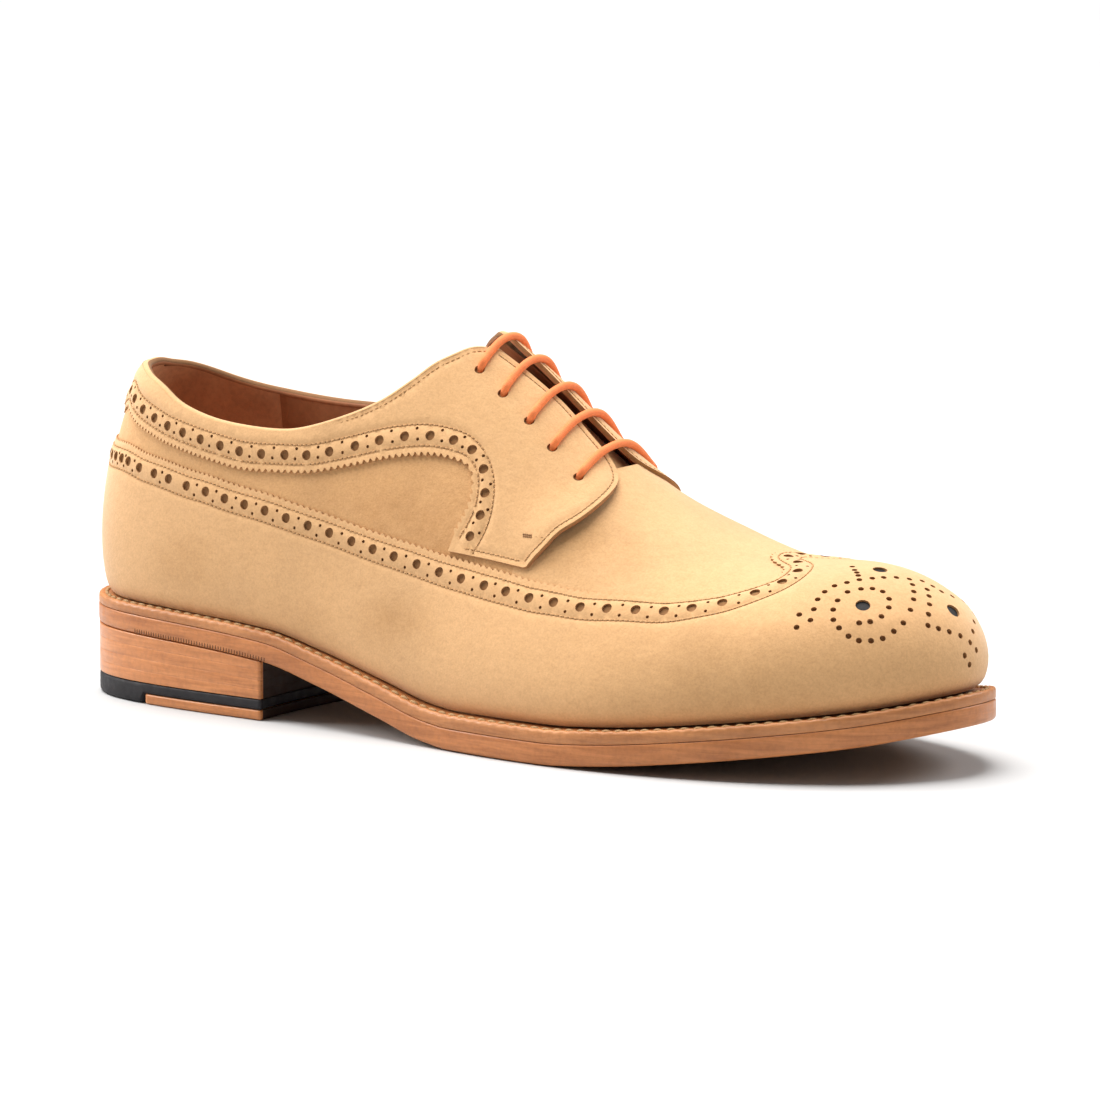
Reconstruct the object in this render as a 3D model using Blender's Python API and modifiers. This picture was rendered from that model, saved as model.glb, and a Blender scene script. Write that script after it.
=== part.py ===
"""Brogue derby, right shoe: sole, welt, heel, insole, hollow upper, tongue and lace bars.

Frame: metres, +X towards the toe, +Y towards the inner (medial) side, +Z up, the floor at z = 0.
The tables below are in millimetres, with x = 0 at the back of the sole; ORIGIN moves them to the middle of the base.
"""
import bpy
import bmesh
import numpy as np

# ---------------------------------------------------------------- sizes, millimetres
NAME = "brogue_derby"
GAP = 0.3               # air between neighbouring pieces
WALL = 2.4              # upper leather and its lining
SEAT = 2.7              # how far the welt runs in under the upper
INSOLE_RISE = 1.2       # insole above the welt's top
HEEL_BREAST = 82.5      # x of the heel's front face
HEEL_INSET = 0.5        # heel block inside the sole edge
TOP_PIECE = 6.0         # height of the heel's lowest layer
RUBBER_TOP = 3.0        # the part of it that is rubber right across
RUBBER_SPLIT = 34.0     # x where the rubber at the back gives way to the leather piece
SLOT_FRONT = 187.0      # x where the throat ends on the vamp
THROAT_SHIFT = -2.0     # throat centre from the crest line, in y
THROAT_HALF = 4.8       # half the gap between the facings
TONGUE_T = 2.2
TONGUE_BELOW = 1.1      # tongue under the inside of the wall
LACE_R = 1.4
LACE_LIFT = 2.0         # lace axis above the facings
HEEL_FAN, HEEL_SOFT = 44.6, 12.0   # where the wall's columns begin to fan round the heel
TOE_FAN, TOE_SOFT = 255.1, 10.0    # and round the toe

# the sole edge from above: heel back, lateral side (-y), toe, medial side (+y); margin is the welt outside the upper
EDGE_COLUMNS = ("x", "y", "margin")
EDGE = {
    "heel_back":     (0.0, 0.0, 4.0),
    "heel_back_lat": (4.2, -15.0, 4.0),
    "heel_lat_1":    (14.0, -25.3, 3.8),
    "heel_lat_2":    (32.0, -32.3, 3.6),
    "heel_lat_3":    (56.0, -35.8, 3.6),
    "breast_lat":    (82.0, -37.8, 3.8),
    "waist_lat":     (108.0, -40.2, 4.2),
    "joint_lat_1":   (134.0, -44.2, 4.8),
    "joint_lat_2":   (160.0, -49.3, 5.4),
    "ball_lat":      (186.0, -53.0, 5.8),
    "toe_lat_1":     (210.0, -53.2, 5.8),
    "toe_lat_2":     (234.0, -50.0, 5.8),
    "toe_lat_3":     (256.0, -43.8, 5.8),
    "toe_lat_4":     (274.0, -35.0, 5.8),
    "toe_lat_5":     (288.0, -23.5, 5.8),
    "toe_lat_6":     (297.0, -9.5, 5.8),
    "toe_tip":       (300.0, 3.0, 5.8),
    "toe_med_6":     (298.0, 14.6, 5.8),
    "toe_med_5":     (290.5, 26.4, 5.6),
    "toe_med_4":     (276.0, 37.4, 5.4),
    "toe_med_3":     (256.0, 46.0, 5.2),
    "toe_med_2":     (234.0, 51.4, 5.0),
    "ball_med":      (212.0, 53.2, 4.8),
    "joint_med_2":   (190.0, 50.6, 4.4),
    "joint_med_1":   (165.0, 43.6, 4.0),
    "waist_med_2":   (138.0, 35.6, 3.6),
    "waist_med_1":   (110.0, 31.2, 3.4),
    "breast_med":    (82.0, 31.4, 3.4),
    "heel_med_3":    (56.0, 33.2, 3.4),
    "heel_med_2":    (32.0, 31.6, 3.6),
    "heel_med_1":    (14.0, 25.0, 3.8),
    "heel_back_med": (4.2, 15.0, 4.0),
}

# side view of the sole: height of the underside, thickness of the outsole and of the welt
SOLE_COLUMNS = ("x", "under", "outsole", "welt")
SOLE = [
    (0.0, 21.0, 5.6, 2.9),
    (40.0, 20.0, 5.6, 2.9),
    (82.0, 17.2, 5.7, 3.0),
    (104.0, 12.2, 5.8, 3.2),
    (127.0, 6.0, 6.0, 3.4),
    (147.0, 1.1, 6.1, 3.6),
    (158.0, 0.0, 6.2, 3.7),
    (192.0, 0.0, 6.2, 3.7),
    (204.0, 0.7, 6.1, 3.7),
    (215.0, 1.6, 6.1, 3.6),
    (237.0, 4.1, 6.0, 3.5),
    (260.0, 7.1, 5.9, 3.4),
    (282.0, 10.3, 5.8, 3.3),
    (300.0, 14.0, 5.7, 3.3),
]

# crest of the last: its line from above, its height, and the fullness of the section under it
CREST_COLUMNS = ("x", "y", "z", "crown_lat", "crown_med", "side_lat", "side_med")
CREST = [
    (30.0, 0.0, 119.7, 2.0, 2.0, 2.45, 2.45),
    (60.0, 0.0, 122.9, 2.0, 2.0, 2.45, 2.45),
    (90.0, 1.0, 125.3, 2.0, 2.0, 2.1, 2.2),
    (115.0, 3.0, 123.0, 2.0, 1.85, 1.8, 2.0),
    (140.0, 4.5, 111.9, 2.0, 1.55, 1.65, 1.9),
    (165.0, 5.0, 94.1, 2.0, 1.52, 1.65, 1.9),
    (190.0, 4.6, 74.5, 2.1, 1.80, 1.7, 1.95),
    (215.0, 3.6, 62.8, 2.2, 2.2, 1.85, 2.0),
    (240.0, 2.8, 55.6, 2.3, 2.3, 2.35, 2.4),
    (262.0, 2.4, 55.8, 2.3, 2.3, 2.69, 2.69),
]

# how far the wall swells past the feather line, and how high above it
BULGE_COLUMNS = ("x", "lateral", "medial", "height")
BULGE = [
    (0.0, 3.05, 3.05, 24.0),
    (40.0, 2.15, 2.15, 22.0),
    (90.0, 2.0, 1.5, 20.0),
    (150.0, 3.0, 1.5, 16.0),
    (200.0, 3.5, 3.0, 14.0),
    (250.0, 3.35, 3.35, 14.0),
    (300.0, 3.9, 3.9, 14.0),
]

# the topline from the side
COLLAR_COLUMNS = ("x", "lateral", "medial")
COLLAR = [
    (14.0, 98.9, 98.9),
    (20.0, 98.4, 96.0),
    (26.0, 97.0, 93.1),
    (31.3, 95.2, 91.4),
    (36.4, 92.7, 90.1),
    (42.7, 89.8, 89.1),
    (50.3, 87.4, 88.2),
    (59.5, 85.3, 87.4),
    (68.9, 84.3, 87.0),
    (84.0, 84.2, 87.0),
    (100.0, 87.8, 89.5),
    (115.0, 94.2, 95.2),
    (127.0, 103.5, 104.0),
    (135.0, 109.2, 109.5),
    (142.0, 112.0, 112.0),
]

# eyelet rows: x of each, distance from the crest line on the two sides
EYELET_COLUMNS = ("x", "lateral", "medial")
EYELETS = [
    (141.9, -15.9, 11.9),
    (150.8, -17.3, 13.3),
    (160.6, -18.4, 14.4),
    (169.4, -19.6, 15.6),
    (179.4, -20.9, 16.9),
]

# tongue: half-width along its length
TONGUE_COLUMNS = ("x", "half")
TONGUE = [
    (131.0, 9.0),
    (136.0, 13.5),
    (143.0, 18.0),
    (155.0, 21.5),
    (180.0, 22.0),
    (206.0, 20.0),
]

# materials: colour (r, g, b) and roughness
MATERIALS = {
    "upper": (0.66, 0.43, 0.22, 0.9),
    "tongue": (0.60, 0.38, 0.19, 0.9),
    "lace_bar": (0.86, 0.22, 0.05, 0.7),
    "insole": (0.30, 0.14, 0.06, 0.6),
    "welt": (0.50, 0.23, 0.09, 0.5),
    "outsole": (0.52, 0.23, 0.09, 0.5),
    "heel_stack": (0.50, 0.21, 0.09, 0.45),
    "heel_rubber": (0.02, 0.02, 0.022, 0.7),
    "heel_leather": (0.42, 0.18, 0.07, 0.5),
}


# ---------------------------------------------------------------- curves through the tables
def monotone(table, columns, key, value):
    """Smooth curve that keeps the table's rises and falls, straight beyond its ends."""
    xs = np.array([row[columns.index(key)] for row in table], float)
    ys = np.array([row[columns.index(value)] for row in table], float)
    h = np.diff(xs)
    d = np.diff(ys) / h
    m = np.zeros(len(xs))
    for i in range(1, len(xs) - 1):
        if d[i - 1] * d[i] > 0:
            a, b = 2 * h[i] + h[i - 1], h[i] + 2 * h[i - 1]
            m[i] = (a + b) / (a / d[i - 1] + b / d[i])
    m[0], m[-1] = d[0], d[-1]

    def curve(x):
        x = np.asarray(x, float)
        xc = np.clip(x, xs[0], xs[-1])
        i = np.clip(np.searchsorted(xs, xc) - 1, 0, len(h) - 1)
        t = (xc - xs[i]) / h[i]
        y = ((1 + 2 * t) * (1 - t) ** 2 * ys[i] + t * (1 - t) ** 2 * h[i] * m[i]
             + t * t * (3 - 2 * t) * ys[i + 1] + t * t * (t - 1) * h[i] * m[i + 1])
        return y + (x - xc) * np.where(x < xs[0], m[0], m[-1])
    return curve


def spline(xs, ys, period=None):
    """Cubic spline with a continuous second derivative: natural ends, or closed with a period."""
    xs, ys = np.array(xs, float), np.array(ys, float)
    if period:
        xs, ys = np.append(xs, xs[0] + period), np.append(ys, ys[0])
    n, h = len(xs), np.diff(xs)
    a, b = np.zeros((n, n)), np.zeros(n)
    for i in range(1, n - 1):
        a[i, i - 1:i + 2] = h[i - 1], 2 * (h[i - 1] + h[i]), h[i]
        b[i] = 6 * ((ys[i + 1] - ys[i]) / h[i] - (ys[i] - ys[i - 1]) / h[i - 1])
    if period:
        a[0, 0], a[0, -1] = 1, -1
        a[-1, 0], a[-1, 1], a[-1, -2], a[-1, -1] = 2 * h[0], h[0], h[-1], 2 * h[-1]
        b[-1] = 6 * ((ys[1] - ys[0]) / h[0] - (ys[-1] - ys[-2]) / h[-1])
    else:
        a[0, 0] = a[-1, -1] = 1
    m = np.linalg.solve(a, b)
    first = (ys[1] - ys[0]) / h[0] - h[0] * m[1] / 6
    last = (ys[-1] - ys[-2]) / h[-1] + h[-1] * m[-2] / 6

    def curve(x):
        x = np.asarray(x, float)
        if period:
            x = xs[0] + np.mod(x - xs[0], period)
        xc = np.clip(x, xs[0], xs[-1])
        i = np.clip(np.searchsorted(xs, xc) - 1, 0, n - 2)
        p, q = xs[i + 1] - xc, xc - xs[i]
        y = ((m[i] * p ** 3 + m[i + 1] * q ** 3) / (6 * h[i])
             + (ys[i] / h[i] - m[i] * h[i] / 6) * p + (ys[i + 1] / h[i] - m[i + 1] * h[i] / 6) * q)
        return y + np.where(x < xs[0], (x - xs[0]) * first, np.where(x > xs[-1], (x - xs[-1]) * last, 0.0))
    return curve


edge_points = np.array(list(EDGE.values()))
edge_steps = np.hypot(*(np.roll(edge_points[:, :2], -1, 0) - edge_points[:, :2]).T)
edge_at = np.concatenate([[0.0], np.cumsum(edge_steps)])
AROUND = edge_at[-1]                                     # length of the sole edge
TIP = edge_at[list(EDGE).index("toe_tip")]               # arc position of the toe tip
edge_x, edge_y, edge_margin = (spline(edge_at[:-1], edge_points[:, k], AROUND) for k in range(3))

under, outsole_t, welt_t = (monotone(SOLE, SOLE_COLUMNS, "x", k) for k in SOLE_COLUMNS[1:])
crest_table = np.array(CREST)
crest_y, crest_z = (spline(crest_table[:, 0], crest_table[:, k]) for k in (1, 2))
crown_lat, crown_med, side_lat, side_med = (monotone(CREST, CREST_COLUMNS, "x", k) for k in CREST_COLUMNS[3:])
bulge_lat, bulge_med, bulge_height = (monotone(BULGE, BULGE_COLUMNS, "x", k) for k in BULGE_COLUMNS[1:])
collar = {"lat": monotone(COLLAR, COLLAR_COLUMNS, "x", "lateral"), "med": monotone(COLLAR, COLLAR_COLUMNS, "x", "medial")}
tongue_half = monotone(TONGUE, TONGUE_COLUMNS, "x", "half")


# ---------------------------------------------------------------- the form of the shoe
def edge(s, inset=0.0):
    """Point of the sole edge at arc position s, moved inwards by inset."""
    dx, dy = edge_x(s + 0.05) - edge_x(s - 0.05), edge_y(s + 0.05) - edge_y(s - 0.05)
    n = np.hypot(dx, dy)
    return np.stack([edge_x(s) - dy / n * inset, edge_y(s) + dx / n * inset], -1)


def feather(s, more=0.0):
    """Line where the upper meets the welt, moved inwards by more."""
    return edge(s, edge_margin(s) + more)


def outsole_top(x):
    return under(x) + outsole_t(x)


def welt_top(x):
    return outsole_top(x) + welt_t(x)


def crest_x(x):
    """x on the crest that a wall column rises to: straight across, but fanning at the heel and toe."""
    x = HEEL_FAN + HEEL_SOFT * np.logaddexp(0.0, (x - HEEL_FAN) / HEEL_SOFT)
    return TOE_FAN - TOE_SOFT * np.logaddexp(0.0, (TOE_FAN - x) / TOE_SOFT)


def wall(s, w):
    """Outer face of the upper: s goes round the feather line, w from 0 at the feather to 1 on the crest."""
    s, w = np.asarray(s, float), np.asarray(w, float)
    fx, fy = np.moveaxis(feather(s), -1, 0)
    fz = welt_top(fx) + GAP
    cx = crest_x(fx)
    cy, cz = crest_y(cx), crest_z(cx)
    side = 0.5 + 0.5 * np.tanh((fy - cy) / 12.0)         # 0 on the lateral side, 1 on the medial
    full = side_lat(cx) * (1 - side) + side_med(cx) * side
    ridge = crown_lat(cx) * (1 - side) + crown_med(cx) * side
    reach = np.where(w >= 1.0, 0.0, np.cos(w * np.pi / 2) ** (2 / ridge))
    rise = np.sin(w * np.pi / 2) ** (2 / full)
    height = rise * (cz - fz)
    swell = bulge_lat(fx) * (1 - side) + bulge_med(fx) * side
    h0 = bulge_height(fx)
    reach = reach + swell / np.hypot(fx - cx, fy - cy) * height / h0 * np.exp(1 - height / h0) * np.clip(3 * (1 - rise), 0, 1)
    x, y = cx + (fx - cx) * reach, cy + (fy - cy) * reach
    slope = crest_z(cx + 0.5) - crest_z(cx - 0.5)
    return np.stack([x, y, fz + height + slope * (x - cx) * rise ** 3], -1)


def outward(s, w):
    """Unit normal of the wall, pointing out of the shoe."""
    e = 1e-3
    ds = wall(s + 0.05, w) - wall(s - 0.05, w)
    dw = wall(s, np.minimum(w + e, 1)) - wall(s, np.maximum(w - e, 0))
    n = np.cross(ds, dw)
    return n / np.linalg.norm(n, axis=-1, keepdims=True)


def solve(f, low, high):
    """Where the rising function f passes zero between low and high."""
    for _ in range(60):
        mid = (low + high) / 2
        if f(mid) < 0:
            low = mid
        else:
            high = mid
    return (low + high) / 2


def column_at(x, side):
    """Arc position of the wall column that rises to x on the crest."""
    if side == "lat":
        return solve(lambda s: float(crest_x(feather(s)[0])) - x, 1.0, TIP - 1.0)
    return solve(lambda s: x - float(crest_x(feather(s)[0])), TIP + 1.0, AROUND - 1.0)


def throat_y(x, side):
    return crest_y(x) + THROAT_SHIFT + (THROAT_HALF if side == "med" else -THROAT_HALF)


def top_of(s, side):
    """How far up (w) the wall goes at column s: the collar, the facing's edge, or the crest."""
    cx = float(crest_x(feather(s)[0]))
    if cx > SLOT_FRONT:
        return 1.0

    def above_collar(w):
        p = wall(s, w)
        return p[2] - collar[side](p[0])
    w = solve(above_collar, 0.2, 1.0)
    if cx > 120.0:
        sign = -1.0 if side == "med" else 1.0
        w = min(w, solve(lambda v: sign * float(wall(s, v)[1] - throat_y(cx, side)), 0.4, 1.0))
    return w


# ---------------------------------------------------------------- making objects
dense = np.linspace(0, AROUND, 4001)
ORIGIN = np.array([(edge_x(dense).min() + edge_x(dense).max()) / 2, (edge_y(dense).min() + edge_y(dense).max()) / 2, 0.0])

for old in list(bpy.data.objects):
    bpy.data.objects.remove(old, do_unlink=True)
scene = bpy.context.scene
scene.unit_settings.system = "METRIC"
parts = bpy.data.collections.new(NAME)
scene.collection.children.link(parts)


def material(slot):
    r, g, b, rough = MATERIALS[slot]
    mat = bpy.data.materials.new(slot)
    mat.use_nodes = True
    shader = mat.node_tree.nodes["Principled BSDF"]
    shader.inputs["Base Color"].default_value = (r, g, b, 1.0)
    shader.inputs["Roughness"].default_value = rough
    mat.diffuse_color = (r, g, b, 1.0)
    return mat


def add(name, verts, faces, slot=None):
    """One named object from points in millimetres, its doubles welded and its faces turned outwards."""
    mesh = bpy.data.meshes.new(name)
    mesh.from_pydata([tuple((np.asarray(v) - ORIGIN) / 1000) for v in verts], [], faces)
    bm = bmesh.new()
    bm.from_mesh(mesh)
    bmesh.ops.remove_doubles(bm, verts=bm.verts, dist=1e-6)
    bmesh.ops.recalc_face_normals(bm, faces=bm.faces)
    bm.to_mesh(mesh)
    bm.free()
    obj = bpy.data.objects.new(name, mesh)
    mesh.materials.append(material(slot or name))
    parts.objects.link(obj)
    return obj


def pair_at(x, inset):
    """The two points of an inset line at x, lateral and medial."""
    line = inset(dense)
    tip, back = int(np.argmax(line[:, 0])), int(np.argmin(line[:, 0]))
    if x >= line[tip, 0] or x <= line[back, 0]:
        k = tip if x >= line[tip, 0] else back
        return line[k], line[k]
    start = back if back < tip else 0
    lat, med = line[start:tip + 1], line[tip:]
    return (np.array([x, np.interp(x, lat[:, 0], lat[:, 1])]), np.array([x, np.interp(x, med[::-1, 0], med[::-1, 1])]))


def stations(inset, low=None, high=None, count=34):
    """x positions along a line, closer together at rounded ends."""
    line = inset(dense)
    a, b = line[:, 0].min(), line[:, 0].max()
    t = (1 - np.cos(np.linspace(0, np.pi, count))) / 2
    t = 0.55 * t + 0.45 * np.linspace(0, 1, count) if low is None and high is None else np.linspace(0, 1, count) ** 1.6
    end = b if high is None else high
    xs = a + (end - a) * t if low is None else np.linspace(low, end, count)
    first = a + np.array([0.15, 0.7, 1.8, 3.6])
    last = b - np.array([3.6, 1.8, 0.7, 0.15])
    if low is None:
        xs = np.concatenate([[a], first, xs[xs > a + 5.0]])
    if high is None:
        xs = np.concatenate([xs[xs < b - 5.0], last, [b]])
    return xs


def plate(name, inset, bottom, top, xs, slot=None):
    """Solid between two heights, bounded by an inset of the sole edge."""
    verts, rings = [], []
    for x in xs:
        lat, med = pair_at(x, inset)
        x = lat[0]
        ring = [(lat[0], lat[1], bottom(x)), (med[0], med[1], bottom(x)), (med[0], med[1], top(x)), (lat[0], lat[1], top(x))]
        rings.append([len(verts) + k for k in range(4)])
        verts += ring
    faces = [tuple(rings[0]), tuple(reversed(rings[-1]))]
    for a, b in zip(rings, rings[1:]):
        faces += [(a[k], b[k], b[(k + 1) % 4], a[(k + 1) % 4]) for k in range(4)]
    return add(name, verts, faces, slot)


def loop_sweep(name, sections, slot=None):
    """Closed ring of equal sections."""
    n, k = len(sections), len(sections[0])
    verts = [p for sec in sections for p in sec]
    faces = [(i * k + j, ((i + 1) % n) * k + j, ((i + 1) % n) * k + (j + 1) % k, i * k + (j + 1) % k)
             for i in range(n) for j in range(k)]
    return add(name, verts, faces, slot)


def shell(obj, thickness):
    """Give an open sheet its thickness, inwards."""
    mod = obj.modifiers.new("thickness", "SOLIDIFY")
    mod.thickness = thickness / 1000
    mod.offset = -1.0
    mod.use_even_offset = False
    mod.use_rim = True
    return obj


# ---------------------------------------------------------------- sole, welt, heel, insole
full = lambda s: edge(s)
plate("outsole", full, under, outsole_top, stations(full, count=44))

ring_at = np.linspace(0, AROUND, 110, endpoint=False)
sections = []
for s in ring_at:
    out, inn = edge(s), feather(s, SEAT)
    low = lambda p: outsole_top(p[0]) + GAP
    sections.append([(*inn, low(inn)), (*out, low(out)), (*out, welt_top(out[0])), (*inn, welt_top(inn[0]))])
loop_sweep("welt", sections)

inner = lambda s: feather(s, WALL + 0.6)
plate("insole", inner, lambda x: outsole_top(x) + GAP, lambda x: welt_top(x) + INSOLE_RISE, stations(inner, count=40))

heel_line = lambda s: edge(s, HEEL_INSET)
heel_xs = stations(heel_line, high=HEEL_BREAST, count=18)
plate("heel_stack", heel_line, lambda x: TOP_PIECE + GAP, lambda x: under(x) - GAP, heel_xs)
rubber_xs = np.sort(np.concatenate([heel_xs[np.abs(heel_xs - RUBBER_SPLIT) > 1.5], [RUBBER_SPLIT, RUBBER_SPLIT + 0.5]]))
plate("heel_rubber", heel_line, lambda x: 0.0 if x <= RUBBER_SPLIT else RUBBER_TOP, lambda x: TOP_PIECE, rubber_xs)
leather_start = RUBBER_SPLIT + 0.5 + GAP
plate("heel_leather", heel_line, lambda x: 0.0, lambda x: RUBBER_TOP - GAP,
      np.concatenate([[leather_start], heel_xs[heel_xs > leather_start + 1.0]]))

# ---------------------------------------------------------------- upper: one open sheet, then its thickness
lat_s = np.concatenate([np.linspace(0, 40, 8), np.linspace(48, 140, 14), np.linspace(146, column_at(SLOT_FRONT - 1, "lat"), 9),
                        np.linspace(column_at(SLOT_FRONT + 3, "lat"), TIP - 60, 8), np.linspace(TIP - 52, TIP - 4, 9), [TIP]])
ROWS = 14
lift = np.linspace(0, 1, ROWS)
columns = []                                             # the lateral half from heel to toe, then the medial half
for side in ("lat", "med"):
    half = []
    for i, s in enumerate(lat_s):
        if side == "med":
            s = AROUND if i == 0 else TIP if i == len(lat_s) - 1 else column_at(float(crest_x(feather(s)[0])), "med")
        half.append(wall(np.full(ROWS, s), top_of(s, side if 0 < i < len(lat_s) - 1 else "lat") * lift))
    columns.append(half)
verts, faces = [], []
for half in columns:
    base = len(verts)
    verts += [p for col in half for p in col]
    for i in range(len(half) - 1):
        for j in range(ROWS - 1):
            a = base + i * ROWS + j
            faces.append((a, a + ROWS, a + ROWS + 1, a + 1))
upper = add("upper", verts, faces)
outside = upper.data.polygons[len(lat_s) // 2 * (ROWS - 1)]
if outside.normal.y > 0:                                 # the sheet's front is the outside
    upper.data.flip_normals()
shell(upper, WALL)

# ---------------------------------------------------------------- tongue, below the facings
tongue_x = np.array([131.0, 133.0, 137.0, 143.0, 151.0, 159.0, 167.0, 175.0, 183.0, 191.0, 199.0, 206.0])
ACROSS = np.linspace(-1, 1, 13)
verts, faces = [], []
for x in tongue_x:
    for u in ACROSS:
        side = "lat" if u <= 0 else "med"
        s = column_at(x, side)
        reach = abs(u) * float(tongue_half(x))
        w = 1.0 if reach < 1e-6 else solve(lambda v: reach - abs(float(wall(s, v)[1] - crest_y(x))), 0.3, 1.0)
        w = min(w, 0.9995)
        sag = 1.6 * np.exp(-((u * float(tongue_half(x)) - THROAT_SHIFT) / 7.0) ** 2)
        n = outward(s, min(w, 0.97))
        if w > 0.97:
            n = np.array([-(crest_z(x + 0.5) - crest_z(x - 0.5)), 0.0, 1.0])
            n = n / np.linalg.norm(n)
        verts.append(wall(s, w) - n * (WALL + TONGUE_BELOW + sag))
k = len(ACROSS)
for i in range(len(tongue_x) - 1):
    for j in range(k - 1):
        a = i * k + j
        faces.append((a, a + k, a + k + 1, a + 1))
tongue = add("tongue", verts, faces)
if tongue.data.polygons[k * 5].normal.z < 0:
    tongue.data.flip_normals()
shell(tongue, TONGUE_T)


# ---------------------------------------------------------------- lace bars, from eyelet to eyelet over the throat
def tube(name, path, radius, slot, sides=8):
    path = np.asarray(path)
    tangent = np.gradient(path, axis=0)
    tangent /= np.linalg.norm(tangent, axis=1, keepdims=True)
    verts, faces = [], []
    for p, t in zip(path, tangent):
        a = np.cross(t, (1.0, 0.0, 0.3))
        a /= np.linalg.norm(a)
        b = np.cross(t, a)
        for q in range(sides):
            ang = 2 * np.pi * q / sides
            verts.append(p + radius * (np.cos(ang) * a + np.sin(ang) * b))
    for i in range(len(path) - 1):
        for q in range(sides):
            r = (q + 1) % sides
            faces.append((i * sides + q, i * sides + r, (i + 1) * sides + r, (i + 1) * sides + q))
    faces += [tuple(range(sides)), tuple(reversed(range((len(path) - 1) * sides, len(path) * sides)))]
    return add(name, verts, faces, slot)


for number, (x, lat, med) in enumerate(EYELETS, 1):
    path = []
    for side, far in (("lat", lat), ("med", med)):
        s = column_at(x, side)
        w0 = solve(lambda v: abs(far) - abs(float(wall(s, v)[1] - crest_y(x))), 0.3, 1.0)
        arm = [wall(s, w) + outward(s, min(w, 0.97)) * LACE_LIFT for w in np.linspace(w0, 0.93, 5)]
        path += arm if side == "lat" else arm[::-1]
    tube("lace_bar_%d" % number, path, LACE_R, "lace_bar")
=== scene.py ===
"""Looks of the brogue derby: suede panels with punched holes and sewing, lining, lace, stitched welt, leather sole and heel.

The form of the upper is the CAD's own: the tables and curves below repeat those of the part, in millimetres.
"""

import bpy
import numpy as np
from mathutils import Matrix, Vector
from mathutils.geometry import delaunay_2d_cdt


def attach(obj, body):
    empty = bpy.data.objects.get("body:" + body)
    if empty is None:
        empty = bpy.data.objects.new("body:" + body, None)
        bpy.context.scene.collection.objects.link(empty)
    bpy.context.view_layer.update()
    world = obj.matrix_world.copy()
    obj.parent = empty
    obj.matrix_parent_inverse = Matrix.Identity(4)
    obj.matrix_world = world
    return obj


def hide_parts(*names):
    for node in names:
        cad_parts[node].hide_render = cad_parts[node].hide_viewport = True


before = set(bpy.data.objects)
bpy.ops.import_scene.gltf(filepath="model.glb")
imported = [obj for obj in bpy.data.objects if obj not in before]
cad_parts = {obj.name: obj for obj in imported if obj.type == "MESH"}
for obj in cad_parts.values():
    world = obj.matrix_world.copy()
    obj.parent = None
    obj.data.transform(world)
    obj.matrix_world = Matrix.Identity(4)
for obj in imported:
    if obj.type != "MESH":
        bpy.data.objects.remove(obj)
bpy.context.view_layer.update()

# ---------------------------------------------------------------- sizes, millimetres
NAME = "brogue_derby"
GAP = 0.3               # air between neighbouring pieces
WALL = 2.4              # upper leather and its lining
SEAT = 2.7              # how far the welt runs in under the upper
INSOLE_RISE = 1.2       # insole above the welt's top
HEEL_BREAST = 82.5      # x of the heel's front face
HEEL_INSET = 0.5        # heel block inside the sole edge
TOP_PIECE = 6.0         # height of the heel's lowest layer
RUBBER_TOP = 3.0        # the part of it that is rubber right across
RUBBER_SPLIT = 34.0     # x where the rubber at the back gives way to the leather piece
SLOT_FRONT = 187.0      # x where the throat ends on the vamp
THROAT_SHIFT = -2.0     # throat centre from the crest line, in y
THROAT_HALF = 4.8       # half the gap between the facings
TONGUE_T = 2.2
TONGUE_BELOW = 1.1      # tongue under the inside of the wall
LACE_R = 1.4
LACE_LIFT = 2.0         # lace axis above the facings
HEEL_FAN, HEEL_SOFT = 44.6, 12.0   # where the wall's columns begin to fan round the heel
TOE_FAN, TOE_SOFT = 255.1, 10.0    # and round the toe

# the sole edge from above: heel back, lateral side (-y), toe, medial side (+y); margin is the welt outside the upper
EDGE_COLUMNS = ("x", "y", "margin")
EDGE = {
    "heel_back":     (0.0, 0.0, 4.0),
    "heel_back_lat": (4.2, -15.0, 4.0),
    "heel_lat_1":    (14.0, -25.3, 3.8),
    "heel_lat_2":    (32.0, -32.3, 3.6),
    "heel_lat_3":    (56.0, -35.8, 3.6),
    "breast_lat":    (82.0, -37.8, 3.8),
    "waist_lat":     (108.0, -40.2, 4.2),
    "joint_lat_1":   (134.0, -44.2, 4.8),
    "joint_lat_2":   (160.0, -49.3, 5.4),
    "ball_lat":      (186.0, -53.0, 5.8),
    "toe_lat_1":     (210.0, -53.2, 5.8),
    "toe_lat_2":     (234.0, -50.0, 5.8),
    "toe_lat_3":     (256.0, -43.8, 5.8),
    "toe_lat_4":     (274.0, -35.0, 5.8),
    "toe_lat_5":     (288.0, -23.5, 5.8),
    "toe_lat_6":     (297.0, -9.5, 5.8),
    "toe_tip":       (300.0, 3.0, 5.8),
    "toe_med_6":     (298.0, 14.6, 5.8),
    "toe_med_5":     (290.5, 26.4, 5.6),
    "toe_med_4":     (276.0, 37.4, 5.4),
    "toe_med_3":     (256.0, 46.0, 5.2),
    "toe_med_2":     (234.0, 51.4, 5.0),
    "ball_med":      (212.0, 53.2, 4.8),
    "joint_med_2":   (190.0, 50.6, 4.4),
    "joint_med_1":   (165.0, 43.6, 4.0),
    "waist_med_2":   (138.0, 35.6, 3.6),
    "waist_med_1":   (110.0, 31.2, 3.4),
    "breast_med":    (82.0, 31.4, 3.4),
    "heel_med_3":    (56.0, 33.2, 3.4),
    "heel_med_2":    (32.0, 31.6, 3.6),
    "heel_med_1":    (14.0, 25.0, 3.8),
    "heel_back_med": (4.2, 15.0, 4.0),
}

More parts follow.
